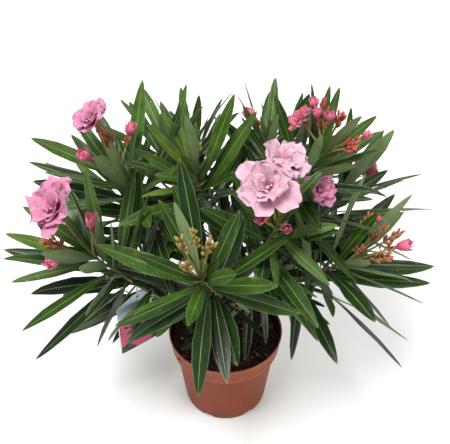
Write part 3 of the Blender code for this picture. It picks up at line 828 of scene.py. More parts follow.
@dataclass(frozen=True)
class PotPlastic(Finish):
    """Moulded plastic in a clay colour: satin, faintly marbled and scuffed, with dust low down,
    painted highlights on its rim and collar edges, and painted shade under the collar.

    Attributes:
        rubbed_and_highlight: The colour of scuffs, also lightened for the painted highlights on the edges.
        dust: The colour of soil dust.
    """

    rubbed_and_highlight: Colour
    dust: Colour

    def dress(self) -> None:
        """Flow marks are noise drawn out round the pot, and scuffs are sparse long specks.

        The heights are those of the rim and of the collar's foot, which get a painted highlight, and of a
        band of painted shade under the collar.
        """
        bench = Bench(self.name)
        height = bench.parts(bench.place())[2]
        flow = bench.noise(22.0, 4.0, bench.place(1.0, 1.0, 1.6))
        grain = bench.noise(2400.0)
        scuff = bench.noise(130.0, 5.0, bench.place(1.0, 1.0, 0.25), 0.7).rise(0.62, 0.74)
        spots = bench.grains(170.0).rise(0.16, 0.05)
        body = bench.mix(flow.rise(0.3, 0.7), shade(self.tint, 0.90), shade(self.tint, 1.10))
        worn = bench.mix(scuff * 0.35, body, self.rubbed_and_highlight)
        # Painted shade: a darker band just under the collar's overhang.
        under = height.rise(0.098, 0.1155) * height.rise(0.1165, 0.1158)
        shaded = bench.mix(under * 0.45, worn, shade(self.tint, 0.5))
        # Painted highlight: a pale line along the rounded foot of the collar and the rim's lip.
        edge = abs(height - 0.1178).rise(0.0022, 0.0004) + abs(height - 0.1462).rise(0.0016, 0.0004)
        rubbed_and_highlight = bench.mix(edge * 0.55, shaded, shade(self.rubbed_and_highlight, 1.25))
        low = height.rise(0.035, 0.0) * 0.5 + height.rise(0.128, 0.146) * 0.18
        dusted = bench.mix(low * flow.rise(0.3, 0.75), rubbed_and_highlight, self.dust)
        spotted = bench.mix(spots * 0.3, dusted, self.dust)
        rough = flow * 0.16 + 0.42 + scuff * 0.15 + grain * 0.06
        bench.close(spotted, rough, grain * 0.5 + flow * 0.6 + scuff * 0.4, 0.00025, 0.2)


class Moulding(Finish):
    """The pot's inside, tinted darker than the outside as painted shade, and dull with soil."""

    def dress(self) -> None:
        """Splashes of soil are rough noise."""
        bench = Bench(self.name)
        splash = bench.noise(90.0, 5.0, rough=0.65)
        body = bench.mix(splash.rise(0.42, 0.6), self.tint, paint(22, 17, 13))
        bench.close(body, splash * 0.3 + 0.6, splash, 0.0006, 0.2)


@dataclass(frozen=True)
class SoilSkin(Finish):
    """Moist potting mix, or a kind of chip in it. Its tint is that of the hollows.

    Attributes:
        light: Colour of the fibres.
    """

    light: Colour

    def dress(self) -> None:
        """Crumbs are scattered grains with rough noise over them."""
        bench = Bench(self.name)
        crumbs = bench.grains(330.0)
        fibre = bench.noise(420.0, 5.0, rough=0.7)
        body = bench.mix((fibre * 0.8 + crumbs * 0.4).rise(0.42, 0.72), self.tint, self.light)
        bench.close(body, fibre * 0.2 + 0.75, fibre * 0.8 + crumbs * 0.8, 0.0012, 0.2)


@dataclass(frozen=True)
class CardPrint(Finish):
    """The front of the hang label: a band of its tint over a panel of round blooms, and nothing to read.

    Attributes:
        panel: Ground of the lower panel.
        bloom: Colour of the rounds on it.
        line: Colour of the plain lines.
    """

    panel: Colour
    bloom: Colour
    line: Colour

    def dress(self) -> None:
        """Bands by height on the card. The rounds are scattered cells, ringed by their distance."""
        bench = Bench(self.name)
        across, along = bench.skin()
        wide = across * 2.0
        flat = bench.node("ShaderNodeCombineXYZ", {}, {0: wide, 1: along * 1.5})
        cells = {"Vector": flat, "Scale": 5.2, "Randomness": 0.9}
        reach = bench.node("ShaderNodeTexVoronoi", {}, cells)
        petals = bench.mix((reach * 34.0).wave() * 0.7, self.bloom, shade(self.bloom, 0.30))
        leafy = bench.noise(9.0, 2.0, flat).rise(0.42, 0.56)
        ground = bench.mix(leafy, self.panel, shade(self.panel, 5.0))
        picture = bench.mix(reach.rise(0.60, 0.54), ground, petals)
        banded = bench.mix(along.rise(0.655, 0.66), picture, self.tint)
        edging = (1.0 - along.rise(0.635, 0.64)) * along.rise(0.645, 0.65)
        stripes = [abs(along - at).rise(half + 0.002, half) for at, half in self.stripes()]
        inset = wide.rise(0.14, 0.15) * wide.rise(0.86, 0.85)
        lined = bench.mix((stripes[0] + stripes[1] + stripes[2]) * inset, banded, self.line)
        margin = 1.0 - wide.rise(0.015, 0.022) * wide.rise(0.985, 0.978) * along.rise(0.01, 0.015)
        edged = bench.mix(margin + edging, lined, shade(self.line, 0.95))
        grain = bench.noise(1900.0)
        bench.close(edged, grain * 0.12 + 0.38, grain, 0.00004, 0.3, Coat_Weight=0.08, Coat_Roughness=0.2)

    def stripes(self) -> tuple[tuple[float, float], ...]:
        """The middle of each plain line on the band, and half its height."""
        return ((0.70, 0.006), (0.76, 0.010), (0.812, 0.004))


@dataclass(frozen=True)
class PlainSurface(Finish):
    """A surface of one colour with fine grain: card backs, thread and the studio floor.

    Attributes:
        rough: Its roughness.
        scale: Grains to the metre.
        depth: Height of the grain in metres.
        spread: How far the colour varies.
    """

    rough: float
    scale: float
    depth: float
    spread: float = 0.06

    def dress(self) -> None:
        """Grain is noise, which also shades the colour."""
        bench = Bench(self.name)
        grain = bench.noise(self.scale, 3.0)
        low, high = shade(self.tint, 1 - self.spread), shade(self.tint, 1 + self.spread)
        mottled = bench.mix(grain.rise(0.3, 0.7), low, high)
        bench.close(mottled, grain * 0.1 + (self.rough - 0.05), grain, self.depth, 0.5)


# --- how the plant grows


class Hue(Enum):
    """Colours that flowers and buds come in."""

    PALE = 0
    ROSE = 1
    DEEP = 2
    YELLOW = 3
    CORAL = 4
    RUSSET = 5
    ROLLED = 6


class End(Enum):
    """What a flower stalk ends in."""

    DOUBLE = "open double flower"
    HALF = "half-open flower"
    BUDS = "cluster of buds"


class Shoot(NamedTuple):
    """A leafy shoot: where its bough springs, where its stem ends and how it is clad.

    Angles are in degrees, the azimuth from the front (-Y) towards +X. The tone is the average of
    its leaves' colours, from 0 for the deepest to 4 for the youngest; low and inner shoots are given
    deep tones, partly as painted shade inside the crown. The lowest leaves are shorter than the rest
    by low_leaf, and a leader is one more leaf on the stem's tip: its azimuth, elevation and length.
    """

    name: str
    parent: str
    along: float
    tip: Point
    azimuth: float
    elevation: float
    stem: float
    whorls: int
    leaf: float
    turn: float
    open_low: float
    open_top: float
    tone: float
    petals: Hue
    buds: Hue
    low_leaf: float = 1.0
    leader: Point | None = None

    @property
    def lean(self) -> Array:
        """The direction of the leafy stem."""
        return heading(self.azimuth, self.elevation)

    @property
    def base(self) -> Array:
        """Where the leafy stem begins."""
        return np.array(self.tip) - self.lean * self.stem


P, R, D, Y, C, B, ROLLED = Hue
# The tones of the low and inner shoots are kept deep, partly as painted shade inside the crown.
SHOOT_ROWS = (
    ("top", "trunk", 1.0, (-0.042, 0.016, 0.446), -26, 72, 0.125, 10, 0.145, 10, 86, 22, 2.4, R, Y),
    ("front", "trunk", 0.72, (-0.03, -0.122, 0.374),
     -24, 56, 0.085, 8, 0.164, 60, 84, 30, 1.6, R, Y, 0.62, (-172, 64, 0.168)),
    ("left", "trunk", 0.62, (-0.178, -0.066, 0.362), -70, 52, 0.085, 8, 0.166, 60, 78, 26, 1.9, R, B, 0.88),
    ("low_right", "trunk", 0.66, (0.168, -0.036, 0.324),
     80, 34, 0.085, 8, 0.174, 110, 94, 30, 1.3, D, C, 0.92),
    ("upper_right", "trunk", 0.86, (0.13, 0.022, 0.472), 84, 62, 0.095, 8, 0.129, 20, 74, 10, 2.2, D, D),
    ("back_left_low", "trunk", 0.78, (-0.055, 0.165, 0.365),
     -165, 54, 0.08, 6, 0.149, 40, 86, 16, 1.6, R, C),
    ("upper_left", "top", 0.22, (-0.146, 0.016, 0.438), -76, 64, 0.085, 7, 0.16, 5, 100, 24, 2.1, R, B),
    ("back_left", "top", 0.4, (-0.085, 0.085, 0.443), -156, 62, 0.085, 6, 0.145, 90, 78, 32, 2.1, R, Y),
    ("back_right", "top", 0.34, (0.062, 0.085, 0.447), 138, 76, 0.09, 7, 0.125, 70, 88, 30, 1.6, R, C),
    ("bloom", "upper_right", 0.3, (0.066, -0.065, 0.412), 42, 66, 0.09, 7, 0.144, 20, 76, 56, 1.8, P, B),
    ("right", "upper_right", 0.48, (0.124, 0.012, 0.384), 74, 52, 0.07, 6, 0.173, 35, 82, 50, 1.5, R, C),
    ("inner_right", "low_right", 0.34, (0.078, -0.005, 0.277),
     74, 42, 0.065, 5, 0.144, 80, 94, 36, 0.9, R, Y, 0.8),
    ("low_left", "left", 0.42, (-0.127, 0.0, 0.269), -68, 50, 0.065, 5, 0.154, 85, 88, 46, 1.1, R, Y, 0.8),
    ("far_left", "left", 0.28, (-0.165, 0.11, 0.345), -131, 56, 0.08, 6, 0.147, 90, 90, 22, 1.7, R, C),
    ("back_right_low", "back_left_low", 0.34, (0.091, 0.165, 0.374),
     148, 46, 0.08, 6, 0.149, 115, 86, 24, 1.7, R, C),
    ("far_right", "low_right", 0.22, (0.183, 0.105, 0.355), 134, 44, 0.08, 6, 0.149, 80, 80, 30, 1.6, D, C),
    ("low_back", "back_left_low", 0.55, (0.0, 0.135, 0.262), 166, 44, 0.06, 5, 0.143, 45, 88, 34, 1.0, R, Y),
    ("side_right", "low_right", 0.52, (0.172, 0.05, 0.282),
     88, 44, 0.06, 5, 0.153, 95, 96, 50, 1.1, R, Y, 0.8),
)
SHOOTS = {row[0]: Shoot(*row) for row in SHOOT_ROWS}


class Truss(NamedTuple):
    """A flower stalk on a shoot's tip: which way it grows, how far, what it ends in and how big."""

    shoot: str
    azimuth: float
    elevation: float
    length: float
    end: End
    size: float

    @property
    def way(self) -> Array:
        """The direction of the stalk."""
        return heading(self.azimuth, self.elevation)


DOUBLE, HALF, BUDS = End
TRUSS_ROWS = {
    "left": (
        (-48, 67, 0.113, DOUBLE, 1.15), (-40, 31, 0.069, HALF, 0.9), (-62, 40, 0.076, BUDS, 1.0),
        (16, 74, 0.075, HALF, 1.0),
    ),
    "upper_left": (
        (-59, 74, 0.103, DOUBLE, 0.8), (-55, 50, 0.062, HALF, 0.9), (-104, 77, 0.065, BUDS, 1.0),
        (143, 66, 0.059, HALF, 0.8),
    ),
    "top": ((154, 75, 0.035, BUDS, 0.7),),
    "front": (
        (-48, 68, 0.094, BUDS, 0.9), (-20, 76, 0.104, BUDS, 0.9), (20, 72, 0.09, BUDS, 0.9),
        (-34, 54, 0.066, BUDS, 0.8),
    ),
    "back_right": ((-100, 58, 0.04, HALF, 0.9),),
    "bloom": (
        (-20, 67, 0.102, DOUBLE, 1.1), (30, 84, 0.112, DOUBLE, 0.85), (-24, 48, 0.074, HALF, 0.7),
        (10, 42, 0.066, HALF, 0.6), (126, 68, 0.084, BUDS, 0.9),
    ),
    "right": (
        (12, 67, 0.049, DOUBLE, 0.68), (-36, 57, 0.052, BUDS, 1.0),
    ),
    "upper_right": (
        (-90, 63, 0.06, DOUBLE, 0.55), (-127, 77, 0.07, HALF, 0.6), (-83, 81, 0.061, HALF, 0.6),
        (20, 80, 0.063, HALF, 0.6), (-173, 78, 0.071, BUDS, 0.8), (97, 70, 0.059, BUDS, 0.9),
        (93, 52, 0.053, HALF, 0.5), (82, 34, 0.062, HALF, 0.5), (65, 31, 0.046, BUDS, 0.9),
    ),
    "low_right": (
        (77, 33, 0.08, HALF, 0.95), (102, 69, 0.08, BUDS, 0.9), (106, 59, 0.08, HALF, 0.35),
        (74, 57, 0.084, BUDS, 0.9), (81, 43, 0.092, BUDS, 0.9), (32, 58, 0.056, BUDS, 0.9),
        (55, 34, 0.07, BUDS, 1.1),
    ),
    "back_right_low": (
        (165, 4, 0.05, DOUBLE, 0.75), (120, 50, 0.06, BUDS, 1.0),
    ),
    "far_left": ((-120, 62, 0.07, BUDS, 1.0),),
    "far_right": ((140, 0, 0.05, DOUBLE, 0.6),),
    "back_left_low": ((-170, 34, 0.055, HALF, 1.0),),
}
TRUSSES = [Truss(name, *row) for name, rows in TRUSS_ROWS.items() for row in rows]


@dataclass(frozen=True)
class Limb:
    """A trunk or bough.

    Attributes:
        path: Corner points of its centre line, as the solids have them.
        radii: Its radius at each.
        fine: The same line in small steps.
    """

    path: Array
    radii: Array
    fine: Array

    def at(self, share: float) -> tuple[Array, Array, float]:
        """A place on the limb.

        Args:
            share: How far along it, from 0 to 1.

        Returns:
            Centre, direction and radius.
        """
        place = share * (len(self.path) - 1)
        low = min(int(place), len(self.path) - 2)
        centre, radius = (blend(part[low], part[low + 1], place - low) for part in (self.path, self.radii))
        return centre, unit(self.path[low + 1] - self.path[low]), radius


@dataclass
class Framework:
    """The short trunk and the boughs that fork from it, each one tapering limb.

    Attributes:
        foot: Where the trunk leaves the soil.
        fork: Where it ends.
        bow: How far it bows out to the left.
        trunk_radii: Radius at the foot and at the fork.
        flare: Extra radius at the soil, and the height in which it fades.
        root_radii: Radius of a bough at its root, on the trunk and on another bough.
        tip_radius: Radius of a bough at its tip.
        straight: Length of the straight end of a bough.
        wood: Its bark.
        limbs: Every limb by name, once grown.
    """

    foot: Point = (-0.014, -0.016, 0.1333)
    fork: Point = (-0.004, -0.004, 0.178)
    bow: float = 0.003
    trunk_radii: tuple[float, float] = (0.0085, 0.0070)
    flare: tuple[float, float] = (0.0045, 0.010)
    root_radii: tuple[float, float] = (0.0043, 0.0034)
    tip_radius: float = 0.0026
    straight: float = 0.005
    wood: BarkSkin = BarkSkin("bark", paint(104, 98, 58), paint(96, 80, 60))
    limbs: dict[str, Limb] = field(default_factory=dict)

    def trunk_line(self, shares: Array) -> tuple[Array, Array]:
        """The trunk: a straight line bowed by a sine, and a taper flared by an exponential.

        Args:
            shares: Places along it, from 0 to 1.

        Returns:
            Its centre and its radius at each.
        """
        foot, fork = np.array(self.foot), np.array(self.fork)
        path = foot + (fork - foot) * shares[:, None]
        path[:, 0] -= self.bow * np.sin(np.pi * shares)
        flare, fade = self.flare
        return path, blend(*self.trunk_radii, shares) + flare * np.exp(-(path[:, 2] - foot[2]) / fade)

    def grow(self) -> None:
        """Work out every limb from the table of shoots."""
        path, radii = self.trunk_line(np.linspace(0.0, 1.0, 6) ** 1.5)
        self.limbs["trunk"] = Limb(path, radii, path)
        for shoot in SHOOTS.values():
            centre, way, thick = self.limbs[shoot.parent].at(shoot.along)
            outward = unit(shoot.base - centre)
            start_way = way if shoot.along >= 1.0 else unit(outward + way * 0.6)
            start = centre + way * GAP if shoot.along >= 1.0 else centre
            ends = (start, start_way, shoot.base - shoot.lean * self.straight, shoot.lean)
            coarse, fine = (np.vstack([cubic(*ends, rows, BOUGH_PULL), shoot.base]) for rows in (6, 38))
            root = min(self.root_radii[shoot.parent != "trunk"], thick * 0.9)
            self.limbs[shoot.name] = Limb(coarse, np.linspace(root, self.tip_radius, len(coarse)), fine)

    def build_trunk(self) -> None:
        """The trunk's bark: a flared tube with ridges along it, knuckles and pits of noise."""
        rows, columns, soil = 46, 32, 0.133
        shares = np.linspace(-0.06, 1.0, rows)
        path, radii = self.trunk_line(shares)
        angle, height = circle(columns), path[:, 2:]
        round_trunk = np.stack(np.broadcast_arrays(np.cos(angle), np.sin(angle), 0 * angle), -1)
        places = round_trunk * 1.6 + UP * (path[:, None, 2:] * 90)
        ridge = 0.0005 * np.sin(angle * 5 + 7 * height * 20) * np.exp(-(height - soil) / 0.02)
        knuckles = 0.0007 * np.exp(-((((height - soil) % 0.0125 - 0.006) / 0.0014) ** 2))
        relief = ridge + knuckles + 0.00055 * layered_noise(places * 2.2, 3)
        crown = np.clip((shares - 0.97) / 0.03, 0, 1)
        tapered = radii * np.sqrt(1 - 0.75 * crown**2)
        sheaf = Sheaf("trunk_bark")
        sheaf.add(tubes(path[None], tapered[None], columns, relief[None]), Weave.ring(rows, columns), 0, 1.5)
        fit(sheaf.build([self.wood]), "bark", "trunk")

    def build_boughs(self) -> None:
        """The boughs' bark: tapering tubes with leaf scars in rings and fine cracks."""
        columns = 14
        fine = np.stack([self.limbs[name].fine for name in SHOOTS])
        ends = np.stack([self.limbs[name].radii[[0, -1]] for name in SHOOTS])
        steps = np.linalg.norm(np.diff(fine, axis=1), axis=2)
        run = np.concatenate([np.zeros((len(fine), 1)), np.cumsum(steps, 1)], 1)
        radii = blend(ends[:, :1], ends[:, 1:], run / run[:, -1:])
        angle, run = circle(columns), run[:, :, None]
        phase = np.arange(len(fine))[:, None, None] * 1.7
        nodes = run + phase * 0.003
        scar = np.exp(-((((nodes % 0.019) - 0.009) / 0.0016) ** 2))
        third = 0.6 + 0.4 * np.cos(3 * angle + np.floor(nodes / 0.019) * math.pi)
        ring = np.stack(np.broadcast_arrays(np.cos(angle), np.sin(angle), phase + run * 160), -1)
        relief = 0.00065 * scar * third + 0.00022 * layered_noise(ring * 2.0, 9, 2)
        sheaf = Sheaf("bough_bark")
        sheaf.add(tubes(fine, radii, columns, relief), Weave.ring(fine.shape[1], columns), 0, 6.0)
        fit(sheaf.build([self.wood]), "bark", *("bough_" + name for name in SHOOTS))


@dataclass
class Many:
    """Many shapes at once: each field holds one value of all of them."""

    @classmethod
    def of(cls, rows: Sequence[Row]) -> Self:
        """A set from one row of values for each shape."""
        return cls(*(np.array(column, dtype=float) for column in zip(*rows)))


@dataclass
class LeafSet(Many):
    """Many leaves at once, each a midrib with a blade across it.

    Attributes:
        root: (leaves, 3) where each grows from.
        way: Its direction at the root.
        across: The direction across its blade.
        length: Its length.
        sag: How far its tip sinks, as a share of its length.
        tone: Its colour, from 0 for the deepest to 4 for the youngest; deep tones low and inside the crown
            are partly painted shade.
        breadth: How much broader it is than the others of its length.
    """

    root: Array
    way: Array
    across: Array
    length: Array
    sag: Array
    tone: Array
    breadth: Array

    def midrib(self, shares: Array) -> Array:
        """Points of the midribs: out along the way, sinking with the square of the share."""
        reach = self.way[:, None] * shares[:, None] - UP * (self.sag[:, None] * shares**2)[..., None]
        return self.root[:, None] + self.length[:, None, None] * reach


@dataclass
class LeafForm:
    """The shape of an oleander leaf: long, stiff and leathery, widest at its middle.

    Attributes:
        half_width: Half the width, as a share of the length.
        stations: Shares of the length that have a ring of points.
        columns: Places across, from one margin over the top to the other, and the rib below.
        stalk: Half the width of its stalk.
        thickness: Thickness of blade and rib together.
        rib_column: Which column of faces is the rib's.
        under_columns: How many columns of faces lie on top.
    """

    half_width: float = 0.077
    stations: tuple[float, ...] = (0.02, 0.08, 0.19, 0.36, 0.56, 0.74, 0.88, 0.965)
    columns: tuple[float, ...] = (-1.0, -0.5, -0.045, 0.045, 0.5, 1.0, 0.0)
    stalk: float = 0.0012
    thickness: float = 0.0009
    rib_column: int = 2
    under_columns: int = 5

    def weave(self) -> Weave:
        """The faces of a leaf. The top lies in the left half of its map and the back in the right."""
        edges = (0.0, 0.125, 0.239, 0.261, 0.375, 0.5, 0.75, 1.0)
        return Weave.ring(len(self.stations), len(self.columns), edges, self.stations)

    def points(self, leaves: LeafSet, rng: np.random.Generator) -> Array:
        """Leaves folded along their ribs, with waved margins, a twist and a sideways bow.

        Half the width follows sin(pi t^1.2)^0.8, with a lower power for short leaves, which are
        broader and blunter. The blade rises from the rib by its fold, falls again towards the
        margin, and its margins wave with a sine along the leaf.

        Args:
            leaves: The leaves.
            rng: For their small differences.

        Returns:
            (leaves, points, 3).
        """
        count = len(leaves.root)
        shares = np.array([*self.stations, 1.0])
        bow, droop = rng.normal(0, 0.04, count), rng.normal(0.012, 0.02, count)
        twist = rng.normal(0, 0.30, count)
        curl = np.where(rng.random(count) < 0.14, rng.uniform(0.10, 0.22, count), 0.0)
        lengths = leaves.length[:, None]
        aside = bow[:, None] * lengths * shares**2
        line = leaves.midrib(shares) + leaves.across[:, None] * aside[..., None]
        fall = droop[:, None] * shares**3 + curl[:, None] * np.clip(shares - 0.8, 0, 1) ** 2 * 6
        line = line - UP * (fall * lengths)[..., None]
        along = unit(np.gradient(line, shares, axis=1))
        side = np.broadcast_to(leaves.across[:, None], along.shape)
        side = unit(side - along * np.sum(side * along, -1, keepdims=True))
        face = np.cross(side, along)
        down = np.where(face[:, :1, 2:] < 0, -1.0, 1.0)
        side, face = side * down, face * down
        turn = (twist[:, None] * shares)[..., None]
        side, face = turned(side, face, turn)
        line, side, face = line[:, :-1], side[:, :-1], face[:, :-1]
        shares = shares[:-1]
        part = np.clip((shares - 0.03) / 0.97, 0, 1)
        blunt = np.clip((0.125 - lengths) / 0.05, 0.0, 1.0)
        shape = np.sin(np.pi * part**1.2) ** (0.8 - 0.25 * blunt)
        broad = rng.uniform(0.88, 1.12, count)[:, None]
        broad = broad * leaves.breadth[:, None] * np.clip(0.12 / lengths, 0.9, 1.4) ** 0.4
        wide = np.hypot(lengths * self.half_width * broad * shape, self.stalk)
        fold, recurve = rng.uniform(0.06, 0.34, count)[:, None], rng.uniform(0.02, 0.20, count)[:, None]
        counts = [(rng.uniform(1.6, 3.2, count)[:, None], rng.random(count)[:, None]) for _ in range(2)]
        waves = [np.sin(2 * np.pi * (crests * shares + start)) for crests, start in counts]
        left, right = (wide * (fold - recurve + 0.07 * wave * shape) for wave in waves)
        shoulder = wide * (0.5 * fold + 0.10)
        rib = wide * 0.07 * fold - 0.00015
        below = -self.thickness * (1.3 - 0.6 * shares) + 0 * rib
        lift = np.stack([left, shoulder, rib, rib, shoulder, right, below], -1)
        out = np.array(self.columns) * wide[..., None]
        rings = line[:, :, None] + side[:, :, None] * out[..., None] + face[:, :, None] * lift[..., None]
        tips = leaves.midrib(np.ones(1)) + leaves.across[:, None] * (bow * leaves.length)[:, None, None]
        tips = tips - UP * ((droop + curl * 0.24) * leaves.length)[:, None, None]
        return with_poles(rings, leaves.root[:, None], tips)


class Crowd:
    """Remembers where limbs and leaves are, so that later leaves find room."""

    def __init__(self) -> None:
        """Start empty."""
        self.taken: Array = np.zeros((0, 3))

    def add(self, points: Array) -> None:
        """Take up points."""
        self.taken = np.vstack([self.taken, points.reshape(-1, 3)])

    def room(self, points: Array, clear: float) -> bool:
        """Whether every point is at least clear from all that is taken up."""
        return bool(np.min(np.linalg.norm(points[:, None] - self.taken, axis=2)) > clear)


@dataclass
class Foliage:
    """Every shoot's leaves, by the same rule as the solids, and younger ones on finer twigs.

    Attributes:
        form: The shape of a leaf.
        tints: Blade colours, deepest first.
        rib: Finish of the ribs.
        back: Finish of the undersides.
        low: The few leaves low on the trunk: azimuth, elevation and length of each.
        limbs: The trunk and boughs.
        crowd: The room that is taken up.
        twigs: Lines and radii of the side twigs, once grown.
    """

    limbs: dict[str, Limb]
    form: LeafForm = field(default_factory=LeafForm)
    tints: tuple[Colour, ...] = tuple(
        paint(*tint) for tint in ((10, 24, 5), (20, 41, 9), (36, 61, 14), (52, 77, 22), (76, 98, 32))
    )
    rib: LeafRib = LeafRib("leaf_rib", paint(112, 138, 76))
    back: LeafBack = LeafBack("leaf_back", paint(106, 126, 80))
    low: tuple[Row, ...] = ((-3, -13, 0.051), (28, -27, 0.041), (95, -6, 0.031), (-62, -9, 0.067))
    crowd: Crowd = field(default_factory=Crowd)
    twigs: list[tuple[Array, Array]] = field(default_factory=list)

    def poses(self, shoot: Shoot, index: int) -> list[list[Row]]:
        """Every leaf of a shoot in whorls of three, with the poses that it may take in turn.

        Args:
            shoot: The shoot.
            index: Its number, which seeds the rule.

        Returns:
            For each leaf, its poses as rows of root, way, across, length, sag, tone and breadth.
        """
        rng = random.Random(SEED + index)
        level = unit(np.cross(UP, shoot.lean))
        third = np.cross(shoot.lean, level)
        start, end = shoot.base + shoot.lean * GAP, np.array(shoot.tip)
        leaves = [self.leader(shoot)] if shoot.leader else []
        for whorl in range(shoot.whorls):
            for member in range(WHORL_LEAVES):
                share = (whorl + 0.5 + WHORL_STAGGER * (member - 1)) / shoot.whorls
                turn = math.radians(shoot.turn + rng.uniform(-12, 12)) + WHORL_TURN * whorl
                turn += 2 * math.pi * member / WHORL_LEAVES
                opening = math.radians(blend(shoot.open_low, shoot.open_top, share) + rng.uniform(-8, 8))
                factor = 0.84 + 0.20 * math.sin(math.pi * (share + 0.15)) if share < 0.8 else 0.80
                lowness = blend(shoot.low_leaf, 1.0, min(1.0, share / LOW_LEAVES))
                factor *= lowness
                length = shoot.leaf * factor * rng.uniform(0.90, 1.06)
                sag = blend(0.06, -0.03, share) + rng.uniform(-0.07, 0.07)
                roll = math.radians(rng.gauss(0, 16))
                # Leaves low on a shoot are deeper in colour, as older leaves are, and partly as painted shade
                # inside the crown.
                tone = shoot.tone + 2.1 * (share - 0.45) + 0.1 * (member - 1)
                tries = []
                for more_turn, more_opening, scale in LEAF_TRIES:
                    angle, spread = turn + math.radians(more_turn), opening + math.radians(more_opening)
                    way = side_way(shoot.lean, side_way(level, third, angle), spread)
                    way = unit([way[0], way[1], max(way[2], LEAF_LOWEST_SLOPE)])
                    flat = unit(np.cross(way, shoot.lean))
                    across, root = side_way(flat, np.cross(flat, way), roll), blend(start, end, share)
                    tries.append((root, way, across, length * scale, sag, tone, lowness**-1.2))
                leaves.append(tries)
        return leaves

    def leader(self, shoot: Shoot) -> list[Row]:
        """The leaf on a stem's tip, its blade square to the shoot's lean.

        Args:
            shoot: The shoot.

        Returns:
            The poses that it may take in turn.
        """
        azimuth, elevation, length = shoot.leader
        tries = []
        for turn, rise, scale in LEAF_TRIES:
            way = heading(azimuth + turn, elevation + rise)
            across = unit(np.cross(way, shoot.lean))
            tries.append((np.array(shoot.tip), way, across, length * scale, 0.0, shoot.tone, 1.0))
        return tries

    def taken(self, shoot: Shoot, index: int) -> tuple[list[Row], list[list[Row]]]:
        """Split a shoot's leaves by whether the solids have them.

        Args:
            shoot: The shoot.
            index: Its number.

        Returns:
            The poses that the solids' leaves took, found by their tips, and the leaves left out.
        """
        mesh = frame["nodes"]["foliage_" + shoot.name].data
        corners = np.empty(len(mesh.vertices) * 3, dtype=np.float32)
        mesh.vertices.foreach_get("co", corners)
        corners = corners.reshape(-1, 3).astype(float)
        found, missing = [], []
        for tries in self.poses(shoot, index):
            tips = LeafSet.of(tries).midrib(np.ones(1))
            near = np.linalg.norm(tips - corners, axis=2).min(axis=1)
            if near.min() < GAP:
                found.append(tries[int(near.argmin())])
            else:
                missing.append(tries)
        return found, missing

    def squeeze_in(self, missing: list[list[Row]]) -> list[Row]:
        """Smaller leaves for places that the solids left bare, where there is room for them.

        Args:
            missing: The poses of the leaves left out.

        Returns:
            The leaves that found room.
        """
        found = []
        for tries in missing:
            for root, way, across, length, sag, tone, breadth in tries:
                leaf = (root, way, across, length * 0.72, sag, tone + 0.4, breadth)
                if self.place(leaf, WIDE_ROOM):
                    found.append(leaf)
                    break
        return found

    def place(self, leaf: Row, clear: float) -> bool:
        """Take up a leaf's room if its outer part is clear of everything else.

        Args:
            leaf: The leaf.
            clear: How far it has to be from the rest.

        Returns:
            Whether there was room.
        """
        points = LeafSet.of([leaf]).midrib(np.linspace(0.3, 1.0, 8))[0]
        free = self.crowd.room(points, clear)
        if free:
            self.crowd.add(points)
        return free

    def young(self, shoot: Shoot, rng: random.Random) -> list[Row]:
        """The tuft of small upright leaves on a shoot's tip.

        Args:
            shoot: The shoot.
            rng: For their small differences.

        Returns:
            The leaves that found room.
        """
        level = unit(np.cross(UP, shoot.lean))
        third = np.cross(shoot.lean, level)
        leaves = []
        for member in range(2 * WHORL_LEAVES):
            outer = member < WHORL_LEAVES
            angle = math.radians(shoot.turn + 60 * member + rng.uniform(-15, 15))
            spread = math.radians(rng.uniform(14, 26) + 14 * outer)
            way = unit(side_way(shoot.lean, side_way(level, third, angle), spread))
            root = np.array(shoot.tip) - shoot.lean * (0.003 if outer else 0.0005)
            size = shoot.leaf * rng.uniform(0.30, 0.42) * (1.15 if outer else 0.8)
            sag, tone = rng.uniform(-0.12, 0.04), shoot.tone + rng.uniform(0.9, 1.7)
            leaf = (root, way, unit(np.cross(way, shoot.lean)), size, sag, tone, 1.0)
            if self.place(leaf, YOUNG_ROOM):
                leaves.append(leaf)
        return leaves

    def side_twigs(self, shoot: Shoot, rng: random.Random) -> list[Row]:
        """Leaves on finer twigs that fork from a bough's upper half, where there is room.

        Each twig turns round its bough by the golden angle and carries two whorls of three.

        Args:
            shoot: The bough's shoot.
            rng: For their small differences.

        Returns:
            The leaves.
        """
        limb = self.limbs[shoot.name]
        leaves: list[Row] = []
        count = int(np.linalg.norm(limb.path[-1] - limb.path[0]) / TWIG_SPACING)
        for twig in range(count):
            centre, way, _ = limb.at(0.36 + 0.56 * (twig + rng.random()) / count)
            level = unit(np.cross(UP, way))
            side = side_way(level, np.cross(way, level), GOLDEN_TURN * twig + rng.uniform(-0.4, 0.4))
            lean = unit(way * 0.75 + side * 0.9 + UP * 0.35)
            end = centre + lean * rng.uniform(0.022, 0.042)
            if not self.crowd.room(blend(centre, end, np.linspace(0.5, 1.0, 4)[:, None]), WIDE_ROOM):
                continue
            flat = unit(np.cross(UP, lean))
            grown = []
            for leaf in range(2 * WHORL_LEAVES):
                whorl = leaf // WHORL_LEAVES
                turn = math.radians(60 * whorl + 120 * leaf + 37 * twig)
                spread = math.radians(rng.uniform(48, 70) - 22 * whorl)
                blade = unit(side_way(lean, side_way(flat, np.cross(lean, flat), turn), spread))
                blade = unit([blade[0], blade[1], max(blade[2], -0.10)])
                size = rng.uniform(0.062, 0.092) * (0.8 if whorl else 1.0)
                tone, sag = shoot.tone - 0.5 + rng.uniform(-0.4, 0.5), rng.uniform(-0.06, 0.10)
                root = blend(centre, end, 0.62 + 0.36 * whorl)
                made = (root, blade, unit(np.cross(blade, lean)), size, sag, tone, 1.0)
                if self.place(made, TWIG_ROOM):
                    grown.append(made)
            if len(grown) >= WHORL_LEAVES:
                self.twigs.append((np.linspace(centre, end, 8), np.linspace(0.0016, 0.0011, 8)))
                leaves += grown
        return leaves

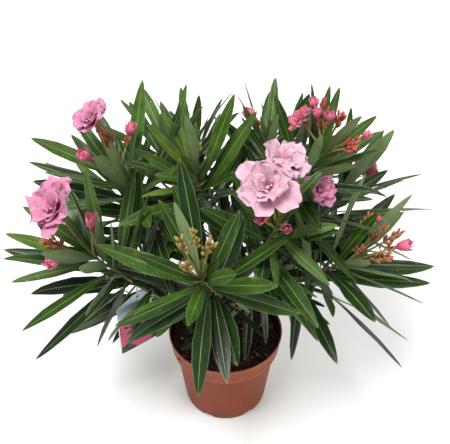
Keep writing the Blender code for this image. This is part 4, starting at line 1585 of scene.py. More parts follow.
    def sprouts(self) -> list[Row]:
        """The small leaves that grow straight from the trunk, and a young one on the front's tip.

        Returns:
            The leaves.
        """
        leaves = []
        for number, (azimuth, elevation, length) in enumerate(self.low):
            root, _, _ = self.limbs["trunk"].at(0.5 + 0.06 * number)
            way = heading(azimuth, elevation)
            leaves.append((root, way, unit(np.cross(way, UP)), length, 0.02, 0.9, 1.25))
        tip = np.array(SHOOTS["front"].tip)
        return [*leaves, (tip, heading(12, 82), heading(95, 0), 0.046, 0.0, 2.0, 1.9)]

    def grow(self) -> dict[str, list[Row]]:
        """Find all the leaves, the solids' own first, so that the others keep clear of them.

        Returns:
            Each shoot's leaves.
        """
        for limb in self.limbs.values():
            self.crowd.add(limb.fine)
        for truss in TRUSSES:
            reach = truss.length + 0.02 * (truss.end is DOUBLE)
            tip = np.array(SHOOTS[truss.shoot].tip)
            self.crowd.add(tip + truss.way * reach * np.linspace(0.3, 1.1, 9)[:, None])
        grown, missing = {}, {}
        for index, (name, shoot) in enumerate(SHOOTS.items()):
            grown[name], missing[name] = self.taken(shoot, index)
            self.crowd.add(LeafSet.of(grown[name]).midrib(np.linspace(0.12, 1.0, 12)))
        for index, (name, shoot) in enumerate(SHOOTS.items()):
            rng = random.Random(SEED * 3 + index)
            grown[name] += self.squeeze_in(missing[name])
            grown[name] += self.young(shoot, rng)
            grown[name] += self.side_twigs(shoot, rng)
        grown["front"] += self.sprouts()
        return grown

    def build(self) -> None:
        """One piece of leaves for each shoot, coloured leaf by leaf from plain tints."""
        weave = self.form.weave()
        blades = [LeafBlade(f"leaf_tint_{number}", tint) for number, tint in enumerate(self.tints)]
        for index, (name, leaves) in enumerate(self.grow().items()):
            rng = np.random.default_rng(SEED + index)
            bunch = LeafSet.of(leaves)
            tint = np.rint(bunch.tone + rng.normal(0, 0.6, len(leaves)))
            tint = np.clip(tint, 0, len(blades) - 1).astype(int)[:, None]
            slots = np.where(weave.column < self.form.under_columns, tint, len(blades) + 1)
            slots = np.where(weave.column == self.form.rib_column, len(blades), slots)
            sheaf = Sheaf("leaves_" + name)
            sheaf.add(self.form.points(bunch, rng), weave, slots, 3.4)
            fit(sheaf.build([*blades, self.rib, self.back], 75), "leaves", "foliage_" + name)


@dataclass
class PetalSet(Many):
    """Many petals at once.

    Attributes:
        root: (petals, 3) where each is fixed.
        axis: The flower's axis.
        ray: The direction outward, square to the axis.
        length: Length along the petal.
        width: Half its width.
        tilt: Angle from the axis at the root, in radians.
        bend: How much further it has leaned out at its tip.
        cup: How far its edges curl inwards, as a share of its width.
        ruffle: Depth of its ruffles, as a share of its length.
    """

    root: Array
    axis: Array
    ray: Array
    length: Array
    width: Array
    tilt: Array
    bend: Array
    cup: Array
    ruffle: Array

    def points(self, rng: np.random.Generator, rows: int, columns: int, pointed: float = 0.0) -> Array:
        """Petals that lean out along an arc, cos(a) axis + sin(a) ray, fan-shaped, cupped and crumpled.

        Half the width goes with s^0.55 and falls off in an ellipse past the middle. The face rises
        by the cup times the square of the place across, by ruffles that are sines across it
        and grow with s^2, and by noise. Its end is crinkled by small steps to and fro.

        Args:
            rng: For their crumples.
            rows: Points along.
            columns: Points across.
            pointed: 0 for a broad end, 1 for a pointed one.

        Returns:
            (petals, points, 3) for Weave.lens.
        """
        count = len(self.root)
        share = np.linspace(0, 1, rows) ** 0.85
        across = np.linspace(-1, 1, columns)
        middle = (share[1:] + share[:-1]) / 2
        angles = (self.tilt[:, None] + self.bend[:, None] * at for at in (middle, share))
        axis, ray, lengths = self.axis[:, None], self.ray[:, None], self.length[:, None, None]
        ways, along = (np.cos(angle)[..., None] * axis + np.sin(angle)[..., None] * ray for angle in angles)
        steps = ways * lengths * np.diff(share)[:, None]
        line = self.root[:, None] + np.concatenate([np.zeros((count, 1, 3)), np.cumsum(steps, 1)], 1)
        side = np.cross(self.ray, self.axis)[:, None]
        turn = rng.normal(0, 0.22, count)[:, None, None] * share[:, None]
        side, face = turned(side, np.cross(side, along), turn)
        end = (np.clip(share - 0.45, 0, 1) / 0.55) ** 3.4 * (0.82 + 0.16 * pointed)
        wide = self.width[:, None] * (0.16 + 0.84 * share**0.55) * np.sqrt(np.clip(1 - end, 0, 1))
        wide, share, each = wide[..., None], share[:, None], (count, 1, 1)
        where = across[None, None] * np.ones((count, rows, 1))
        phase = rng.random(each) * 6.28
        waves = np.sin(where * rng.uniform(4, 8, each) + phase) * share**2 * (1 - 0.45 * where**4)
        cells = np.broadcast_arrays(where * 1.7, share * 2.6, np.arange(count).reshape(each) * 7.3)
        crumple = smooth_noise(np.stack(cells, -1), 5) * share
        lift = self.cup[:, None, None] * wide * where**2
        lift = lift + self.ruffle[:, None, None] * lengths * (waves + crumple * 1.2)
        skew = rng.normal(0, 0.10, each)
        crinkle = (1 - pointed) * rng.normal(0, 0.028, where.shape) * share**2
        run = lengths * share * (skew * where - (0.17 + 0.24 * pointed) * where**2 + crinkle)
        front = line[:, :, None] + side[:, :, None] * (where * wide)[..., None]
        front = front + face[:, :, None] * lift[..., None] + along[:, :, None] * run[..., None]
        back = front - face[:, :, None] * 0.00035
        return np.concatenate([front.reshape(count, -1, 3), back[:, 1:-1, 1:-1].reshape(count, -1, 3)], 1)


@dataclass
class Flowering:
    """Flower stalks with all that they carry: double flowers, half-open ones and buds.

    Attributes:
        radius: Radius of an open double flower.
        layers: Of a double flower, outermost first: petals, tilt and bend in degrees, length and
            half width as shares of the radius.
        half_length: Length of a half-open flower.
        half_layers: The same as layers, of a half-open flower, as shares of its length.
        bud_length: Length of the biggest buds.
        petals: Colours of the flowers' edge, heart and streaks, from 0 to 255.
        closed: Colours of the buds' tip and foot, the same.
        calyx: Finish of sepals.
        opened: Rows for the petals of double flowers, with their hues.
        rolled: Rows for the petals of half-open flowers.
        sepals: Rows for the sepals.
        buds: Root, way and length of each bud, with its hue.
        throats: Lines, radii and hues of the throats.
        stalks: Lines and radii of flower stalks and pedicels.
    """

    radius: float = 0.0345
    layers: tuple[Row, ...] = (
        (5, 68, 20, 1.12, 0.66),
        (5, 52, 22, 0.92, 0.54),
        (5, 34, 26, 0.66, 0.36),
        (4, 16, 20, 0.44, 0.22),
    )
    half_length: float = 0.027
    half_layers: tuple[Row, ...] = ((5, 38, -60, 0.98, 0.29), (3, 20, -30, 1.0, 0.22))
    bud_length: float = 0.016
    petals: dict[Hue, tuple[Row, Row, Row]] = field(
        default_factory=lambda: {
            P: ((196, 157, 173), (188, 110, 134), (190, 127, 149)),
            R: ((192, 124, 154), (178, 66, 102), (182, 84, 119)),
            D: ((184, 89, 110), (158, 50, 74), (156, 54, 80)),
            ROLLED: ((210, 110, 138), (194, 48, 84), (202, 76, 109)),
        }
    )
    closed: dict[Hue, tuple[Row, Row]] = field(
        default_factory=lambda: {
            D: ((184, 70, 76), (132, 84, 52)),
            Y: ((174, 144, 78), (122, 124, 60)),
            C: ((168, 100, 72), (138, 108, 62)),
            B: ((178, 100, 70), (134, 100, 60)),
        }
    )
    calyx: StemSkin = StemSkin("calyx", paint(138, 118, 60), paint(140, 72, 50))
    opened: list[tuple[Row, Hue]] = field(default_factory=list)
    rolled: list[Row] = field(default_factory=list)
    sepals: list[Row] = field(default_factory=list)
    buds: list[tuple[Array, Array, float, Hue]] = field(default_factory=list)
    throats: list[tuple[Array, Array, Hue]] = field(default_factory=list)
    stalks: list[tuple[Array, Array]] = field(default_factory=list)

    def rays(self, axis: Array, count: int, turn: float) -> list[Array]:
        """Directions spread evenly round an axis, square to it.

        Args:
            axis: The axis.
            count: How many.
            turn: Where the first one is.

        Returns:
            The directions.
        """
        first = unit(np.cross(axis, [0.31, 0.87, 0.13]))
        second = np.cross(axis, first)
        return [side_way(first, second, angle) for angle in turn + circle(count)]

    def double(self, end: Array, truss: Truss, hue: Hue, rng: random.Random) -> None:
        """An open double flower: layers of petals round a throat, on a calyx of five sepals.

        Args:
            end: The end of its stalk.
            truss: The truss.
            hue: Its colour.
            rng: For the petals' differences.
        """
        axis = unit(truss.way + heading(truss.azimuth, 20) * 0.4)
        radius = self.radius * truss.size
        root = end + truss.way * radius * 0.4 - axis * radius * 0.2
        for number, (count, tilt, bend, length, width) in enumerate(self.layers):
            for ray in self.rays(axis, count, number * 2.4 + rng.random()):
                ray = unit(ray + np.cross(axis, ray) * rng.uniform(-0.35, 0.35))
                lean = math.radians(tilt + rng.uniform(-12, 8)), math.radians(bend + rng.uniform(-26, 22))
                size = radius * length * rng.uniform(0.84, 1.06)
                shape = (rng.uniform(-0.20, 0.35), rng.uniform(0.08, 0.14))
                place = root + ray * 0.0016 + axis * 0.0004 * number
                self.opened.append(((place, axis, ray, size, radius * width, *lean, *shape), hue))
        throat = np.linspace(end - truss.way * 0.001, root + axis * 0.004, 5)
        self.throats.append((throat, np.linspace(0.0012, 0.0034, 5), hue))
        self.cup(root - axis * 0.0055, axis, 0.0085, 34)

    def half(self, end: Array, truss: Truss, rng: random.Random) -> None:
        """A half-open flower: an egg of petals that lean out and in again, rolled round a core.

        Args:
            end: The end of its stalk.
            truss: The truss.
            rng: For the petals' differences.
        """
        axis = truss.way
        length = self.half_length * truss.size
        for number, (count, tilt, bend, size, width) in enumerate(self.half_layers):
            for ray in self.rays(axis, count, number * 1.1 + rng.random()):
                lean = math.radians(tilt + rng.uniform(-4, 6)), math.radians(bend + rng.uniform(-6, 18))
                root = end + axis * 0.001 + ray * (0.0024 - 0.0010 * number)
                shape = (0.62, rng.uniform(0.01, 0.04))
                self.rolled.append((root, axis, ray, length * size, length * width, *lean, *shape))
        core = np.linspace(end - axis * 0.001, end + axis * length * 0.8, 4)
        self.throats.append((core, np.array([0.0014, 0.13 * length, 0.15 * length, 0.05 * length]), ROLLED))
        self.cup(end, axis, 0.0075, 30)

    def cup(self, root: Array, axis: Array, length: float, tilt: float) -> None:
        """Five sepals that hold a flower.

        Args:
            root: Where they are fixed.
            axis: The flower's axis.
            length: Their length.
            tilt: How far they lean out, in degrees.
        """
        for ray in self.rays(axis, 5, 0.4):
            shape = (length, 0.0013, math.radians(tilt), math.radians(6), 0.3, 0.01)
            self.sepals.append((root + ray * 0.0012, axis, ray, *shape))

    def spray(self, stalk: Array, truss: Truss, hue: Hue, count: int, rng: random.Random) -> None:
        """Buds on pedicels of their own round the end of a stalk.

        Args:
            stalk: Points along the stalk.
            truss: The truss.
            hue: Colour of the buds.
            count: How many.
            rng: For their places.
        """
        way = truss.way
        for number in range(count):
            place = (1.0, 0.97, 0.9, 0.78)[min(3, number // 3)]
            root = stalk[min(len(stalk) - 1, int(place * (len(stalk) - 1)))]
            swing = heading(truss.azimuth + 137 * number + rng.uniform(-20, 20), rng.uniform(-8, 40))
            out = way if number == 0 else unit(way + swing * rng.uniform(0.6, 1.1))
            long = rng.uniform(0.003, 0.007) * truss.size * (1.0 + 0.5 * (number > 5))
            rise = unit(out + way * 0.6)
            line = blend(root, root + out * long, np.linspace(0, 1, 4)[:, None])
            self.stalks.append((line, np.full(4, 0.0007)))
            size = self.bud_length * truss.size * rng.uniform(0.5, 1.0)
            self.buds.append((line[-1] - rise * 0.0004, rise, size, hue))
            if number % 3 == 0:
                self.cup(line[-1] - rise * 0.0006, rise, size * 0.5, 20)

    def grow(self) -> None:
        """Work out what every truss carries."""
        for index, truss in enumerate(TRUSSES):
            rng = random.Random(SEED * 11 + index)
            shoot = SHOOTS[truss.shoot]
            tip = np.array(shoot.tip)
            end = tip + truss.way * truss.length
            start_way = unit(shoot.lean + truss.way)
            stalk = cubic(tip - shoot.lean * 0.002, start_way, end, truss.way, 12, STALK_PULL)
            self.stalks.append((stalk, np.linspace(0.0021, 0.0013, len(stalk))))
            if truss.end is DOUBLE:
                self.double(end, truss, shoot.petals, rng)
                self.spray(stalk[:-1], truss, shoot.buds, 5, rng)
            elif truss.end is HALF:
                self.half(end, truss, rng)
                self.spray(stalk[:-2], truss, shoot.buds, 5, rng)
            else:
                self.spray(stalk, truss, shoot.buds, rng.randint(12, 16), rng)

    def build_blossom(self) -> None:
        """All open and half-open petals, with the throats under them."""
        rng = np.random.default_rng(SEED)
        hues = list(self.petals)
        skins = []
        for hue in hues:
            colours = (paint(*colour) for colour in self.petals[hue])
            skins.append(PetalSkin("petal_" + hue.name.lower(), *colours, 0.8 if hue is ROLLED else 0.35))
        slots = np.array([hues.index(hue) for _, hue in self.opened])[:, None]
        petals = PetalSet.of([petal for petal, _ in self.opened])
        sheaf = Sheaf("blossom")
        sheaf.add(petals.points(rng, 8, 8), Weave.lens(8, 8), slots, 0.6)
        sheaf.add(PetalSet.of(self.rolled).points(rng, 7, 5), Weave.lens(7, 5), hues.index(ROLLED), 0.8)
        for rows in (4, 5):
            some = [throat for throat in self.throats if len(throat[0]) == rows]
            path, radii = (np.stack([throat[part] for throat in some]) for part in (0, 1))
            slots = np.array([hues.index(hue) for _, _, hue in some])[:, None]
            sheaf.add(tubes(path, radii, 6), Weave.ring(rows, 6), slots, 1.5)
        fit(sheaf.build(skins, 80), "leaves")

    def build_buds(self) -> None:
        """All closed buds: spindles with a spiral twist, each in a small calyx.

        The radius swells to its most at 0.4 of the length, and three soft ridges turn round it.
        """
        hues = list(self.closed)
        skins = []
        for hue in hues:
            skins.append(BudSkin("bud_" + hue.name.lower(), *(paint(*colour) for colour in self.closed[hue])))
        columns = 6
        shares = np.array([0.02, 0.16, 0.38, 0.62, 0.82, 0.95])
        profile = np.array([0.50, 0.78, 1.0, 0.86, 0.55, 0.24])
        root, way, length = (np.array([bud[part] for bud in self.buds]) for part in range(3))
        radius = length * 0.15 + 0.0007
        first = unit(np.cross(way, [0.2, 0.9, 0.1]))
        second = np.cross(way, first)[:, None, None]
        angle = circle(columns) + 1.3 * shares[:, None]
        reach = profile[:, None] * (1 + 0.12 * np.cos(3 * angle)) * radius[:, None, None]
        line = root[:, None] + way[:, None] * (length[:, None] * shares)[..., None]
        spoke = np.cos(angle)[..., None] * first[:, None, None] + np.sin(angle)[..., None] * second
        rings = line[:, :, None] + reach[..., None] * spoke
        weave = Weave.ring(len(shares), columns)
        hue = np.array([hues.index(bud[3]) for bud in self.buds])[:, None]
        points = with_poles(rings, root[:, None], (root + way * length[:, None])[:, None])
        sheaf = Sheaf("buds")
        sheaf.add(points, weave, np.where(weave.row == 0, len(skins), hue), 2.0)
        sepals = PetalSet.of(self.sepals).points(np.random.default_rng(SEED), 4, 3, 1.0)
        sheaf.add(sepals, Weave.lens(4, 3), len(skins), 1.5)
        fit(sheaf.build([*skins, self.calyx], 80), "leaves")


@dataclass
class Twigs:
    """The leafy stems, side twigs and flower stalks.

    Attributes:
        green: Finish of stems and twigs.
        stalk: Finish of flower stalks.
    """

    green: StemSkin = StemSkin("stem", paint(112, 122, 62), paint(120, 84, 54))
    stalk: StemSkin = StemSkin("stalk", paint(146, 154, 76), paint(146, 112, 66))

    def build(self, side: list[tuple[Array, Array]], stalks: list[tuple[Array, Array]]) -> None:
        """One piece of them all.

        Args:
            side: Lines and radii of the side twigs.
            stalks: Lines and radii of flower stalks and pedicels.
        """
        sheaf = Sheaf("twigs")
        rows = 40
        share = np.linspace(0.0, 1.0, rows)
        paths, radii = [], []
        for shoot in SHOOTS.values():
            base = shoot.base - shoot.lean * 0.001
            paths.append(blend(base, np.array(shoot.tip) + shoot.lean * 0.004, share[:, None]))
            beat = (share * shoot.whorls) % 1.0 - 0.5
            radii.append(np.linspace(0.00255, 0.0013, rows) + 0.0005 * np.exp(-((beat / 0.16) ** 2)))
        sheaf.add(tubes(np.stack(paths), np.stack(radii), 9), Weave.ring(rows, 9), 0, 9.0)
        for number, lines in ((0, side), (1, stalks)):
            for count in sorted({len(line) for line, _ in lines}):
                some = [both for both in lines if len(both[0]) == count]
                points = tubes(*(np.stack([both[part] for both in some]) for part in (0, 1)), 6)
                sheaf.add(points, Weave.ring(count, 6), number, 4.0)
        fit(sheaf.build([self.green, self.stalk]), "bark")


# --- pot, soil and label


@dataclass
class Pot:
    """The moulded pot, a bed of potting mix and the chips that lie on it.

    Attributes:
        height: Height of the rim.
        rim: Outer radius of the rim.
        collar: Height of the collar and its radius at its foot.
        body: Radius of the body under the collar and at its base.
        wall: Thickness of the wall.
        floor: Height of the inner floor.
        notches: Number, half width, height and depth of the notches round the foot.
        turn: Where the notches begin.
        soil_top: Height of the soil in the middle.
        soil_fall: How much lower it lies at the wall.
        outer: Finish of the body.
        lip: Finish of collar and rim.
        inner: Finish of the inside.
        earth: Finish of the soil.
        chips: Finishes of the chips.
        chip_count: How many chips.
    """

    height: float = 0.147
    rim: float = 0.090
    collar: tuple[float, float] = (0.031, 0.0858)
    body: tuple[float, float] = (0.0803, 0.0656)
    wall: float = 0.002
    floor: float = 0.0085
    notches: tuple[int, float, float, float] = (6, 0.0085, 0.0065, 0.012)
    turn: float = math.radians(-85.4)
    soil_top: float = 0.133
    soil_fall: float = 0.003
    outer: PotPlastic = PotPlastic("pot_wall", paint(128, 57, 32), paint(152, 82, 52), paint(128, 88, 60))
    lip: PotPlastic = PotPlastic("pot_collar", paint(136, 65, 39), paint(160, 92, 62), paint(132, 94, 66))
    # The inside's dark tint is painted shade.
    inner: Moulding = Moulding("pot_inside", paint(58, 34, 26))
    earth: SoilSkin = SoilSkin("soil_bed", paint(12, 8, 6), paint(44, 30, 24))
    chips: tuple[SoilSkin, ...] = (
        SoilSkin("chip_dark", paint(22, 14, 11), paint(52, 34, 26)),
        SoilSkin("chip_bark", paint(52, 29, 20), paint(92, 56, 40)),
        SoilSkin("chip_pale", paint(104, 86, 68), paint(160, 142, 120)),
    )

    chip_count: int = 1100

    def profile(self) -> tuple[Array, Array]:
        """The pot's section, from the underside's middle outward, up, over the rim and down inside.

        Returns:
            (rows, 2) radii and heights, and for each row its finish: 0 body, 1 collar, 2 inside.
        """
        (collar, collar_foot), (top, base) = self.collar, self.body
        _, _, notch, depth = self.notches
        shelf = self.height - collar
        slope = (top - base) / shelf
        inner_base = base + slope * self.floor - self.wall
        walls = np.linspace(notch + 0.0002, shelf - 0.0016, 9)
        lip = np.radians(np.linspace(-20, 200, 9))
        mouth = self.rim - self.wall / 2
        rows = [(0.012, 0.0, 0), (0.035, 0.0, 0), (base - depth, 0.0, 0), (base - depth + 0.0001, 0.0, 0)]
        bend = np.radians([0, 30, 60, 90])
        rows += [(base - 0.003 + 0.003 * math.sin(a), 0.003 - 0.003 * math.cos(a), 0) for a in bend]
        rows += [(base + slope * (notch - 0.0002), notch - 0.0002, 0)]
        rows += [(base + slope * z, z, 0) for z in walls]
        rows += [(top, shelf - 0.0008, 0), (top + 0.0012, shelf - 0.0001, 0)]
        rows += [(collar_foot - 0.0008, shelf, 1), (collar_foot, shelf + 0.0007, 1)]
        rows += [(collar_foot + 0.0001, shelf + 0.0018, 1)]
        near, rise = self.rim - 0.0004, (0.3, 0.55, 0.78)
        rows += [(blend(collar_foot, near, s), blend(shelf, self.height, s), 1) for s in rise]
        rows += [(self.rim - 0.0006, self.height - 0.0045, 1), (self.rim - 0.0001, self.height - 0.0032, 1)]
        half = self.wall / 2
        rows += [(mouth + half * math.cos(a), self.height - 0.001 + 0.001 * math.sin(a), 1) for a in lip]
        rows += [(self.rim - self.wall - 0.0003, self.height - 0.005, 2)]
        fall = (0.6, 0.3, 0.06)
        rows += [(blend(collar_foot, self.rim, s) - self.wall, blend(shelf, self.height, s), 2) for s in fall]
        rows += [(top - self.wall, shelf, 2), (inner_base, self.floor, 2), (0.02, self.floor, 2)]
        table = np.array(rows)
        return table[:, :2], table[:, 2].astype(int)

    def angles(self) -> tuple[Array, Array]:
        """The columns of the pot.

        Returns:
            Their angles, with close pairs at the notches' sides, and which lie in a notch.
        """
        count, half, _, _ = self.notches
        edge = math.asin(half / self.body[1])
        inside = np.linspace(-edge, edge, 5)
        span = 2 * math.pi / count
        between = np.linspace(edge + 0.002, span - edge - 0.002, 17)
        one = np.concatenate([inside, between])
        starts = self.turn + math.pi / count + span * np.arange(count)[:, None]
        return (starts + one).ravel(), np.tile(np.arange(len(one)) < len(inside), count)

    def build_pot(self) -> None:
        """The pot turned from its profile, its foot lifted where a notch is."""
        section, finish = self.profile()
        angle, deep = self.angles()
        _, _, notch, depth = self.notches
        radius, height = section[:, None, 0] + 0 * angle, section[:, None, 1] + 0 * angle
        foot = (section[:, 0] > self.body[1] - depth) & (section[:, 1] < notch) & (finish == 0)
        height = np.where(foot[:, None] & deep, np.maximum(height, notch), height)
        rings = np.stack([radius * np.cos(angle), radius * np.sin(angle), height], -1)[None]
        points = with_poles(rings, np.zeros((1, 1, 3)), np.array([[[0, 0, self.floor]]]))
        run = np.concatenate([[0], np.cumsum(np.linalg.norm(np.diff(section, axis=0), axis=1))])
        weave = Weave.ring(len(section), len(angle), along=0.02 + 0.96 * run / run[-1])
        sheaf = Sheaf("pot_moulding")
        sheaf.add(points, weave, finish[weave.row], 1.0)
        fit(sheaf.build([self.outer, self.lip, self.inner], 38), "pot", "pot")

    def soil_height(self, x: Array, y: Array) -> Array:
        """Height of the soil: a shallow dome with humps and crumbs of noise.

        Args:
            x: Places to the right.
            y: Places to the back.

        Returns:
            The height at each.
        """
        out = np.hypot(x, y)
        dome = self.soil_top - self.soil_fall * ease(out, 0.055, 0.087)
        places = np.stack([x, y, 0 * x], -1)
        humps = 0.0022 * smooth_noise(places * 42, 2) * ease(out, 0.086, 0.06)
        return dome + humps + 0.0011 * layered_noise(places * 240, 8, 2)

    def build_soil(self) -> None:
        """The bed: a closed plug that fills the pot, its top raised by the soil's height."""
        (collar, collar_foot), (top, base) = self.collar, self.body
        shelf = self.height - collar
        slope = (top - base) / shelf
        clear, foot, edge = self.wall + GAP, self.floor + GAP, self.soil_top - self.soil_fall
        edge_radius = blend(collar_foot, self.rim, (edge - shelf) / collar) - clear - GAP
        plug = [(base + slope * foot - clear, foot), (top - clear, shelf + GAP), (edge_radius, edge - 0.002)]
        out = edge_radius * np.linspace(0.995, 0.02, 46)[:, None]
        angle = circle(150)
        cos, sin = np.cos(angle), np.sin(angle)
        bed = np.stack([out * cos, out * sin, self.soil_height(out * cos, out * sin)], -1)
        wall = [np.stack([r * cos, r * sin, 0 * angle + z], -1) for r, z in plug]
        rings = np.concatenate([np.stack(wall), bed])[None]
        middle = np.zeros(1)
        ends = np.array([[[0, 0, foot]]]), np.array([[[0, 0, float(self.soil_height(middle, middle)[0])]]])
        sheaf = Sheaf("soil_bed")
        sheaf.add(with_poles(rings, *ends), Weave.ring(rings.shape[1], len(angle)), 0, 1.0)
        fit(sheaf.build([self.earth]), "soil", "soil")

    def build_chips(self) -> None:
        """Bits of bark and fibre scattered over the soil, each a lopsided block of twelve faces."""
        rng = np.random.default_rng(SEED + 5)
        count = self.chip_count
        out = 0.083 * np.sqrt(rng.random(count))
        angle = rng.random(count) * 2 * math.pi
        x, y = out * np.cos(angle), out * np.sin(angle)
        size = rng.gamma(2.2, 0.00055, count) + 0.0007
        long, flat = rng.uniform(1.0, 2.6, count), rng.uniform(0.25, 0.6, count)
        shape = np.stack([size * long, size, size * flat], -1)
        around = 2 * math.pi * (np.arange(4) + 0.5) / 4
        ring = np.stack([np.cos(around), np.sin(around)], -1)
        rings = np.c_[ring * 0.8, np.full(4, -0.5)], np.c_[ring, np.full(4, 0.4)]
        block = np.concatenate([*rings, [[0, 0, -0.9], [0.1, 0, 0.9]]])
        points = (block + rng.normal(0, 0.16, (count, 10, 3))) * shape[:, None]
        turn, tip = rng.random(count) * 6.28, rng.normal(0, 0.45, count)
        pz, px = turned(points[..., 2], points[..., 0], tip[:, None])
        py, px = turned(points[..., 1], px, turn[:, None])
        points = np.stack([px, py, pz], -1)
        points = points + np.stack([x, y, self.soil_height(x, y) + shape[:, 2] * 0.5], -1)[:, None]
        kind = rng.choice(3, count, p=(0.66, 0.32, 0.02))[:, None]
        sheaf = Sheaf("soil_chips")
        sheaf.add(points, Weave.ring(2, 4), kind, 1.0)
        fit(sheaf.build(self.chips, 30), "soil")


@dataclass
class HangLabel:
    """The pointed card that hangs from a bough, and the thread that it hangs by.

    Attributes:
        width: Width of the card.
        height: Its height.
        peak: Half the width of its flat top.
        shoulder: How far below the top its shoulders are.
        corner: Radius of its corners.
        thick: Its thickness.
        hole: Radius of the hole and how far it is below the top.
        turn: Angle that the card is turned away from the front.
        thread: Radius of the thread.
        drop: Height of the thread's loop.
        hook_at: Share of the bough's length where it hangs.
        steps: Points that the solids' loop has in half a turn.
        front: Finish of the front.
        back: Finish of the back and edge.
        cord: Finish of the thread.
        lowest: The lowest point of the thread's line, once built.
    """

    width: float = 0.074
    height: float = 0.111
    peak: float = 0.008
    shoulder: float = 0.013
    corner: float = 0.004
    thick: float = 0.0007
    hole: tuple[float, float] = (0.0030, 0.0060)
    turn: float = math.radians(38)
    thread: float = 0.0007
    drop: float = 0.027
    hook_at: float = 0.93
    steps: int = 6
    front: CardPrint = CardPrint(
        "label_front", paint(192, 208, 222), paint(16, 28, 18), paint(216, 78, 124), paint(232, 236, 234)
    )
    back: PlainSurface = PlainSurface("label_back", paint(226, 226, 220), 0.45, 900.0, 0.00005)
    cord: PlainSurface = PlainSurface("label_thread", paint(214, 214, 204), 0.6, 2600.0, 0.0002, 0.12)
    lowest: Array | None = None

    def build_thread(self, limb: Limb) -> None:
        """The loop: two half circles about the bough's line and below it, joined by straight runs.

        Args:
            limb: The bough that it hangs from.
        """
        hook, way, radius = limb.at(self.hook_at)
        sideways = unit(np.cross(way, UP))
        bend = (radius + GAP + self.thread) / math.cos(math.pi / (2 * (self.steps - 1)))
        upper = hook + UP * radius * (1.0 / math.hypot(way[0], way[1]) - 1.0)
        lower = upper - UP * (self.drop - 2 * bend)
        self.lowest = lower - UP * bend
        angle, run = np.linspace(0, math.pi, 12)[:, None], np.linspace(0, 1, 8)[1:-1, None]
        arc = bend * (np.cos(angle) * sideways + np.sin(angle) * UP)
        top, foot = upper + arc, lower - arc
        line = np.concatenate([top, blend(top[-1], foot[0], run), foot, blend(foot[-1], top[0], run)])
        along = unit(np.roll(line, -1, 0) - np.roll(line, 1, 0))
        flat = np.broadcast_to(unit(way - UP * way[2]), line.shape)
        flat = unit(flat - along * np.sum(flat * along, -1, keepdims=True))
        turn = circle(8)[None, :, None]
        spoke = np.cos(turn) * flat[:, None] + np.sin(turn) * np.cross(along, flat)[:, None]
        rings = (line[:, None] + self.thread * spoke).reshape(1, -1, 3)
        sheaf = Sheaf("label_thread")
        sheaf.add(rings, Weave.ring(len(line), 8, poles=(False, False), looped=True), 0, 8.0)
        fit(sheaf.build([self.cord]), "loop", "label_loop")

    def outline(self) -> Array:
        """The card's outline, with every corner rounded by a quadratic arc.

        Returns:
            (points, 2) places across and up, counted from the middle of the top.
        """
        half, peak, shoulder = self.width / 2, self.peak, -self.shoulder
        corners = [(-half, -self.height), (half, -self.height), (half, shoulder), (peak, 0.0)]
        corners += [(-peak, 0.0), (-half, shoulder)]
        points = []
        share, run = np.linspace(0, 1, 9)[:, None], np.linspace(0, 1, 8)[1:-1, None]
        for before, here, after in zip(np.roll(corners, 1, 0), np.array(corners), np.roll(corners, -1, 0)):
            start, end = here + unit(before - here) * self.corner, here + unit(after - here) * self.corner
            points.append((1 - share) ** 2 * start + 2 * share * (1 - share) * here + share**2 * end)
            points.append(blend(end, after + unit(here - after) * self.corner, run))
        return np.concatenate(points)

    def build_card(self) -> None:
        """The card: both faces run from the hole's edge to the outline, bent by a shallow curve.

        A point of a face is the blend of a point of the hole and the outline's point in the same
        direction. The whole closed skin goes up one face, over the edge, down the other and through
        the hole.
        """
        wide = np.array([math.cos(self.turn), math.sin(self.turn), 0.0])
        out = np.array([math.sin(self.turn), -math.cos(self.turn), 0.0])
        radius, drop = self.hole
        hole = self.lowest - UP * (radius - self.thread - GAP)
        rim = self.outline() - np.array([0.0, -drop])
        inner = unit(rim) * radius
        shares = np.array([0.0, 0.08, 0.2, 0.36, 0.52, 0.68, 0.84, 1.0])
        skin = blend(inner, rim, shares[:, None, None])
        skin = np.concatenate([skin, skin[::-1]])
        side = np.repeat([0.5, -0.5], len(shares))[:, None]
        bow = 0.0012 * (skin[..., 0] / (self.width / 2)) ** 2
        points = hole + wide * skin[..., :1] + UP * skin[..., 1:] + out * (side * self.thick - bow)[..., None]
        weave = Weave.ring(*skin.shape[:2], poles=(False, False), looped=True)
        finish = np.where(weave.row < len(shares) - 1, 0, 1)
        grid = np.stack([skin[..., 0] / self.width + 0.5, (skin[..., 1] - drop) / self.height + 1.0], -1)
        flat = grid.reshape(-1, 2)[weave.corners] * np.array([0.5, 1.0])
        flat[..., 0] += 0.5 * finish[:, None]
        sheaf = Sheaf("label_card")
        sheaf.add(points.reshape(1, -1, 3), weave, finish, 1.0, flat)
        fit(sheaf.build([self.front, self.back], 40), "label", "label")


# --- studio


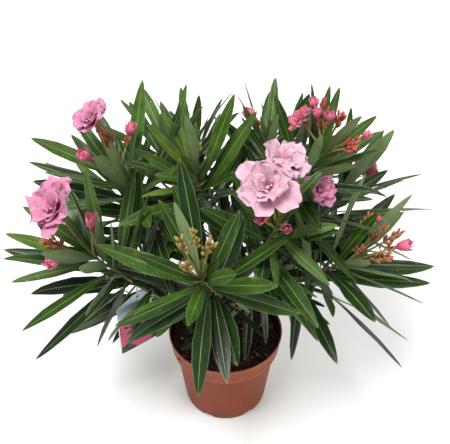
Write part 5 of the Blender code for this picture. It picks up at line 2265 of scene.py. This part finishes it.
@dataclass
class Studio:
    """A plain pale floor, soft light and the camera.

    Attributes:
        aim: The point that the camera looks at.
        distance: Its distance from there.
        pitch: How far it looks down.
        lens: Focal length on a 36 mm sensor.
        sky: Strength of the even light from all round.
        ground: Finish of the floor.
        lights: Name, place, size and power of each light.
    """

    aim: Point = (-0.0008, 0.0, 0.3702)
    distance: float = 1.2
    pitch: float = math.radians(40.514)
    lens: float = 67.595
    sky: float = 0.40
    ground: PlainSurface = PlainSurface("studio_floor", (0.93, 0.93, 0.93, 1.0), 0.9, 6.0, 0.0001, 0.004)

    lights: tuple[Row, ...] = (
        ("key", (-0.7, -0.9, 2.9), 1.1, 106.0),
        ("fill", (1.7, -1.1, 2.2), 1.8, 26.0),
        ("back", (0.4, 2.1, 2.3), 1.8, 36.0),
    )

    def build(self) -> None:
        """Set up everything that isn't the plant."""
        scene = bpy.context.scene
        scene.view_settings.view_transform = "Standard"
        self.build_floor()
        self.build_camera(scene)
        for light in self.lights:
            self.build_light(*light)
        world = bpy.data.worlds.new("studio")
        world.use_nodes = True
        back = world.node_tree.nodes["Background"]
        back.inputs["Color"].default_value = (1.0, 1.0, 1.0, 1.0)
        back.inputs["Strength"].default_value = self.sky
        scene.world = world

    def build_floor(self) -> None:
        """A broad level floor under the pot."""
        step = np.array([-6.0, 6.0])
        x, y = np.meshgrid(step, step)
        mesh = bpy.data.meshes.new("floor")
        mesh.from_pydata(np.stack([x, y, 0 * x - 0.0002], -1).reshape(-1, 3).tolist(), [], [(0, 1, 3, 2)])
        mesh.materials.append(self.ground.material())
        floor = bpy.data.objects.new("floor", mesh)
        bpy.context.scene.collection.objects.link(floor)

    def build_camera(self, scene: bpy.types.Scene) -> None:
        """The camera in front of the plant, looking down on it.

        Args:
            scene: The scene that it is for.
        """
        data = bpy.data.cameras.new("camera")
        data.lens = self.lens
        data.sensor_width = 36.0
        data.clip_end = 50.0
        camera = bpy.data.objects.new("camera", data)
        back = np.array([0.0, -math.cos(self.pitch), math.sin(self.pitch)])
        camera.location = np.array(self.aim) + back * self.distance
        camera.rotation_euler = (math.pi / 2 - self.pitch, 0.0, 0.0)
        scene.collection.objects.link(camera)
        scene.camera = camera

    def build_light(self, name: str, place: Point, size: float, power: float) -> None:
        """A broad square light that faces the plant.

        Args:
            name: Its name.
            place: Where it is.
            size: Its width.
            power: Its power in watts.
        """
        data = bpy.data.lights.new(name, "AREA")
        data.size = size
        data.energy = power
        light = bpy.data.objects.new(name, data)
        light.location = place
        away = unit(np.array(place) - np.array(self.aim))
        light.rotation_euler = (math.acos(away[2]), 0.0, math.atan2(away[1], away[0]) + math.pi / 2)
        bpy.context.scene.collection.objects.link(light)


def main() -> None:
    """Build the pot, the limbs, the label, the leaves, the flowers and the studio, logging each piece's
    triangles.
    """
    logging.basicConfig(level=logging.INFO, format="%(name)s %(message)s")
    framework = Framework()
    framework.grow()
    framework.build_trunk()
    framework.build_boughs()
    pot = Pot()
    pot.build_pot()
    pot.build_soil()
    pot.build_chips()
    label = HangLabel()
    label.build_thread(framework.limbs["left"])
    label.build_card()
    foliage = Foliage(framework.limbs)
    foliage.build()
    flowering = Flowering()
    flowering.grow()
    flowering.build_blossom()
    flowering.build_buds()
    Twigs().build(foliage.twigs, flowering.stalks)
    Studio().build()


if __name__ == "__main__":
    main()
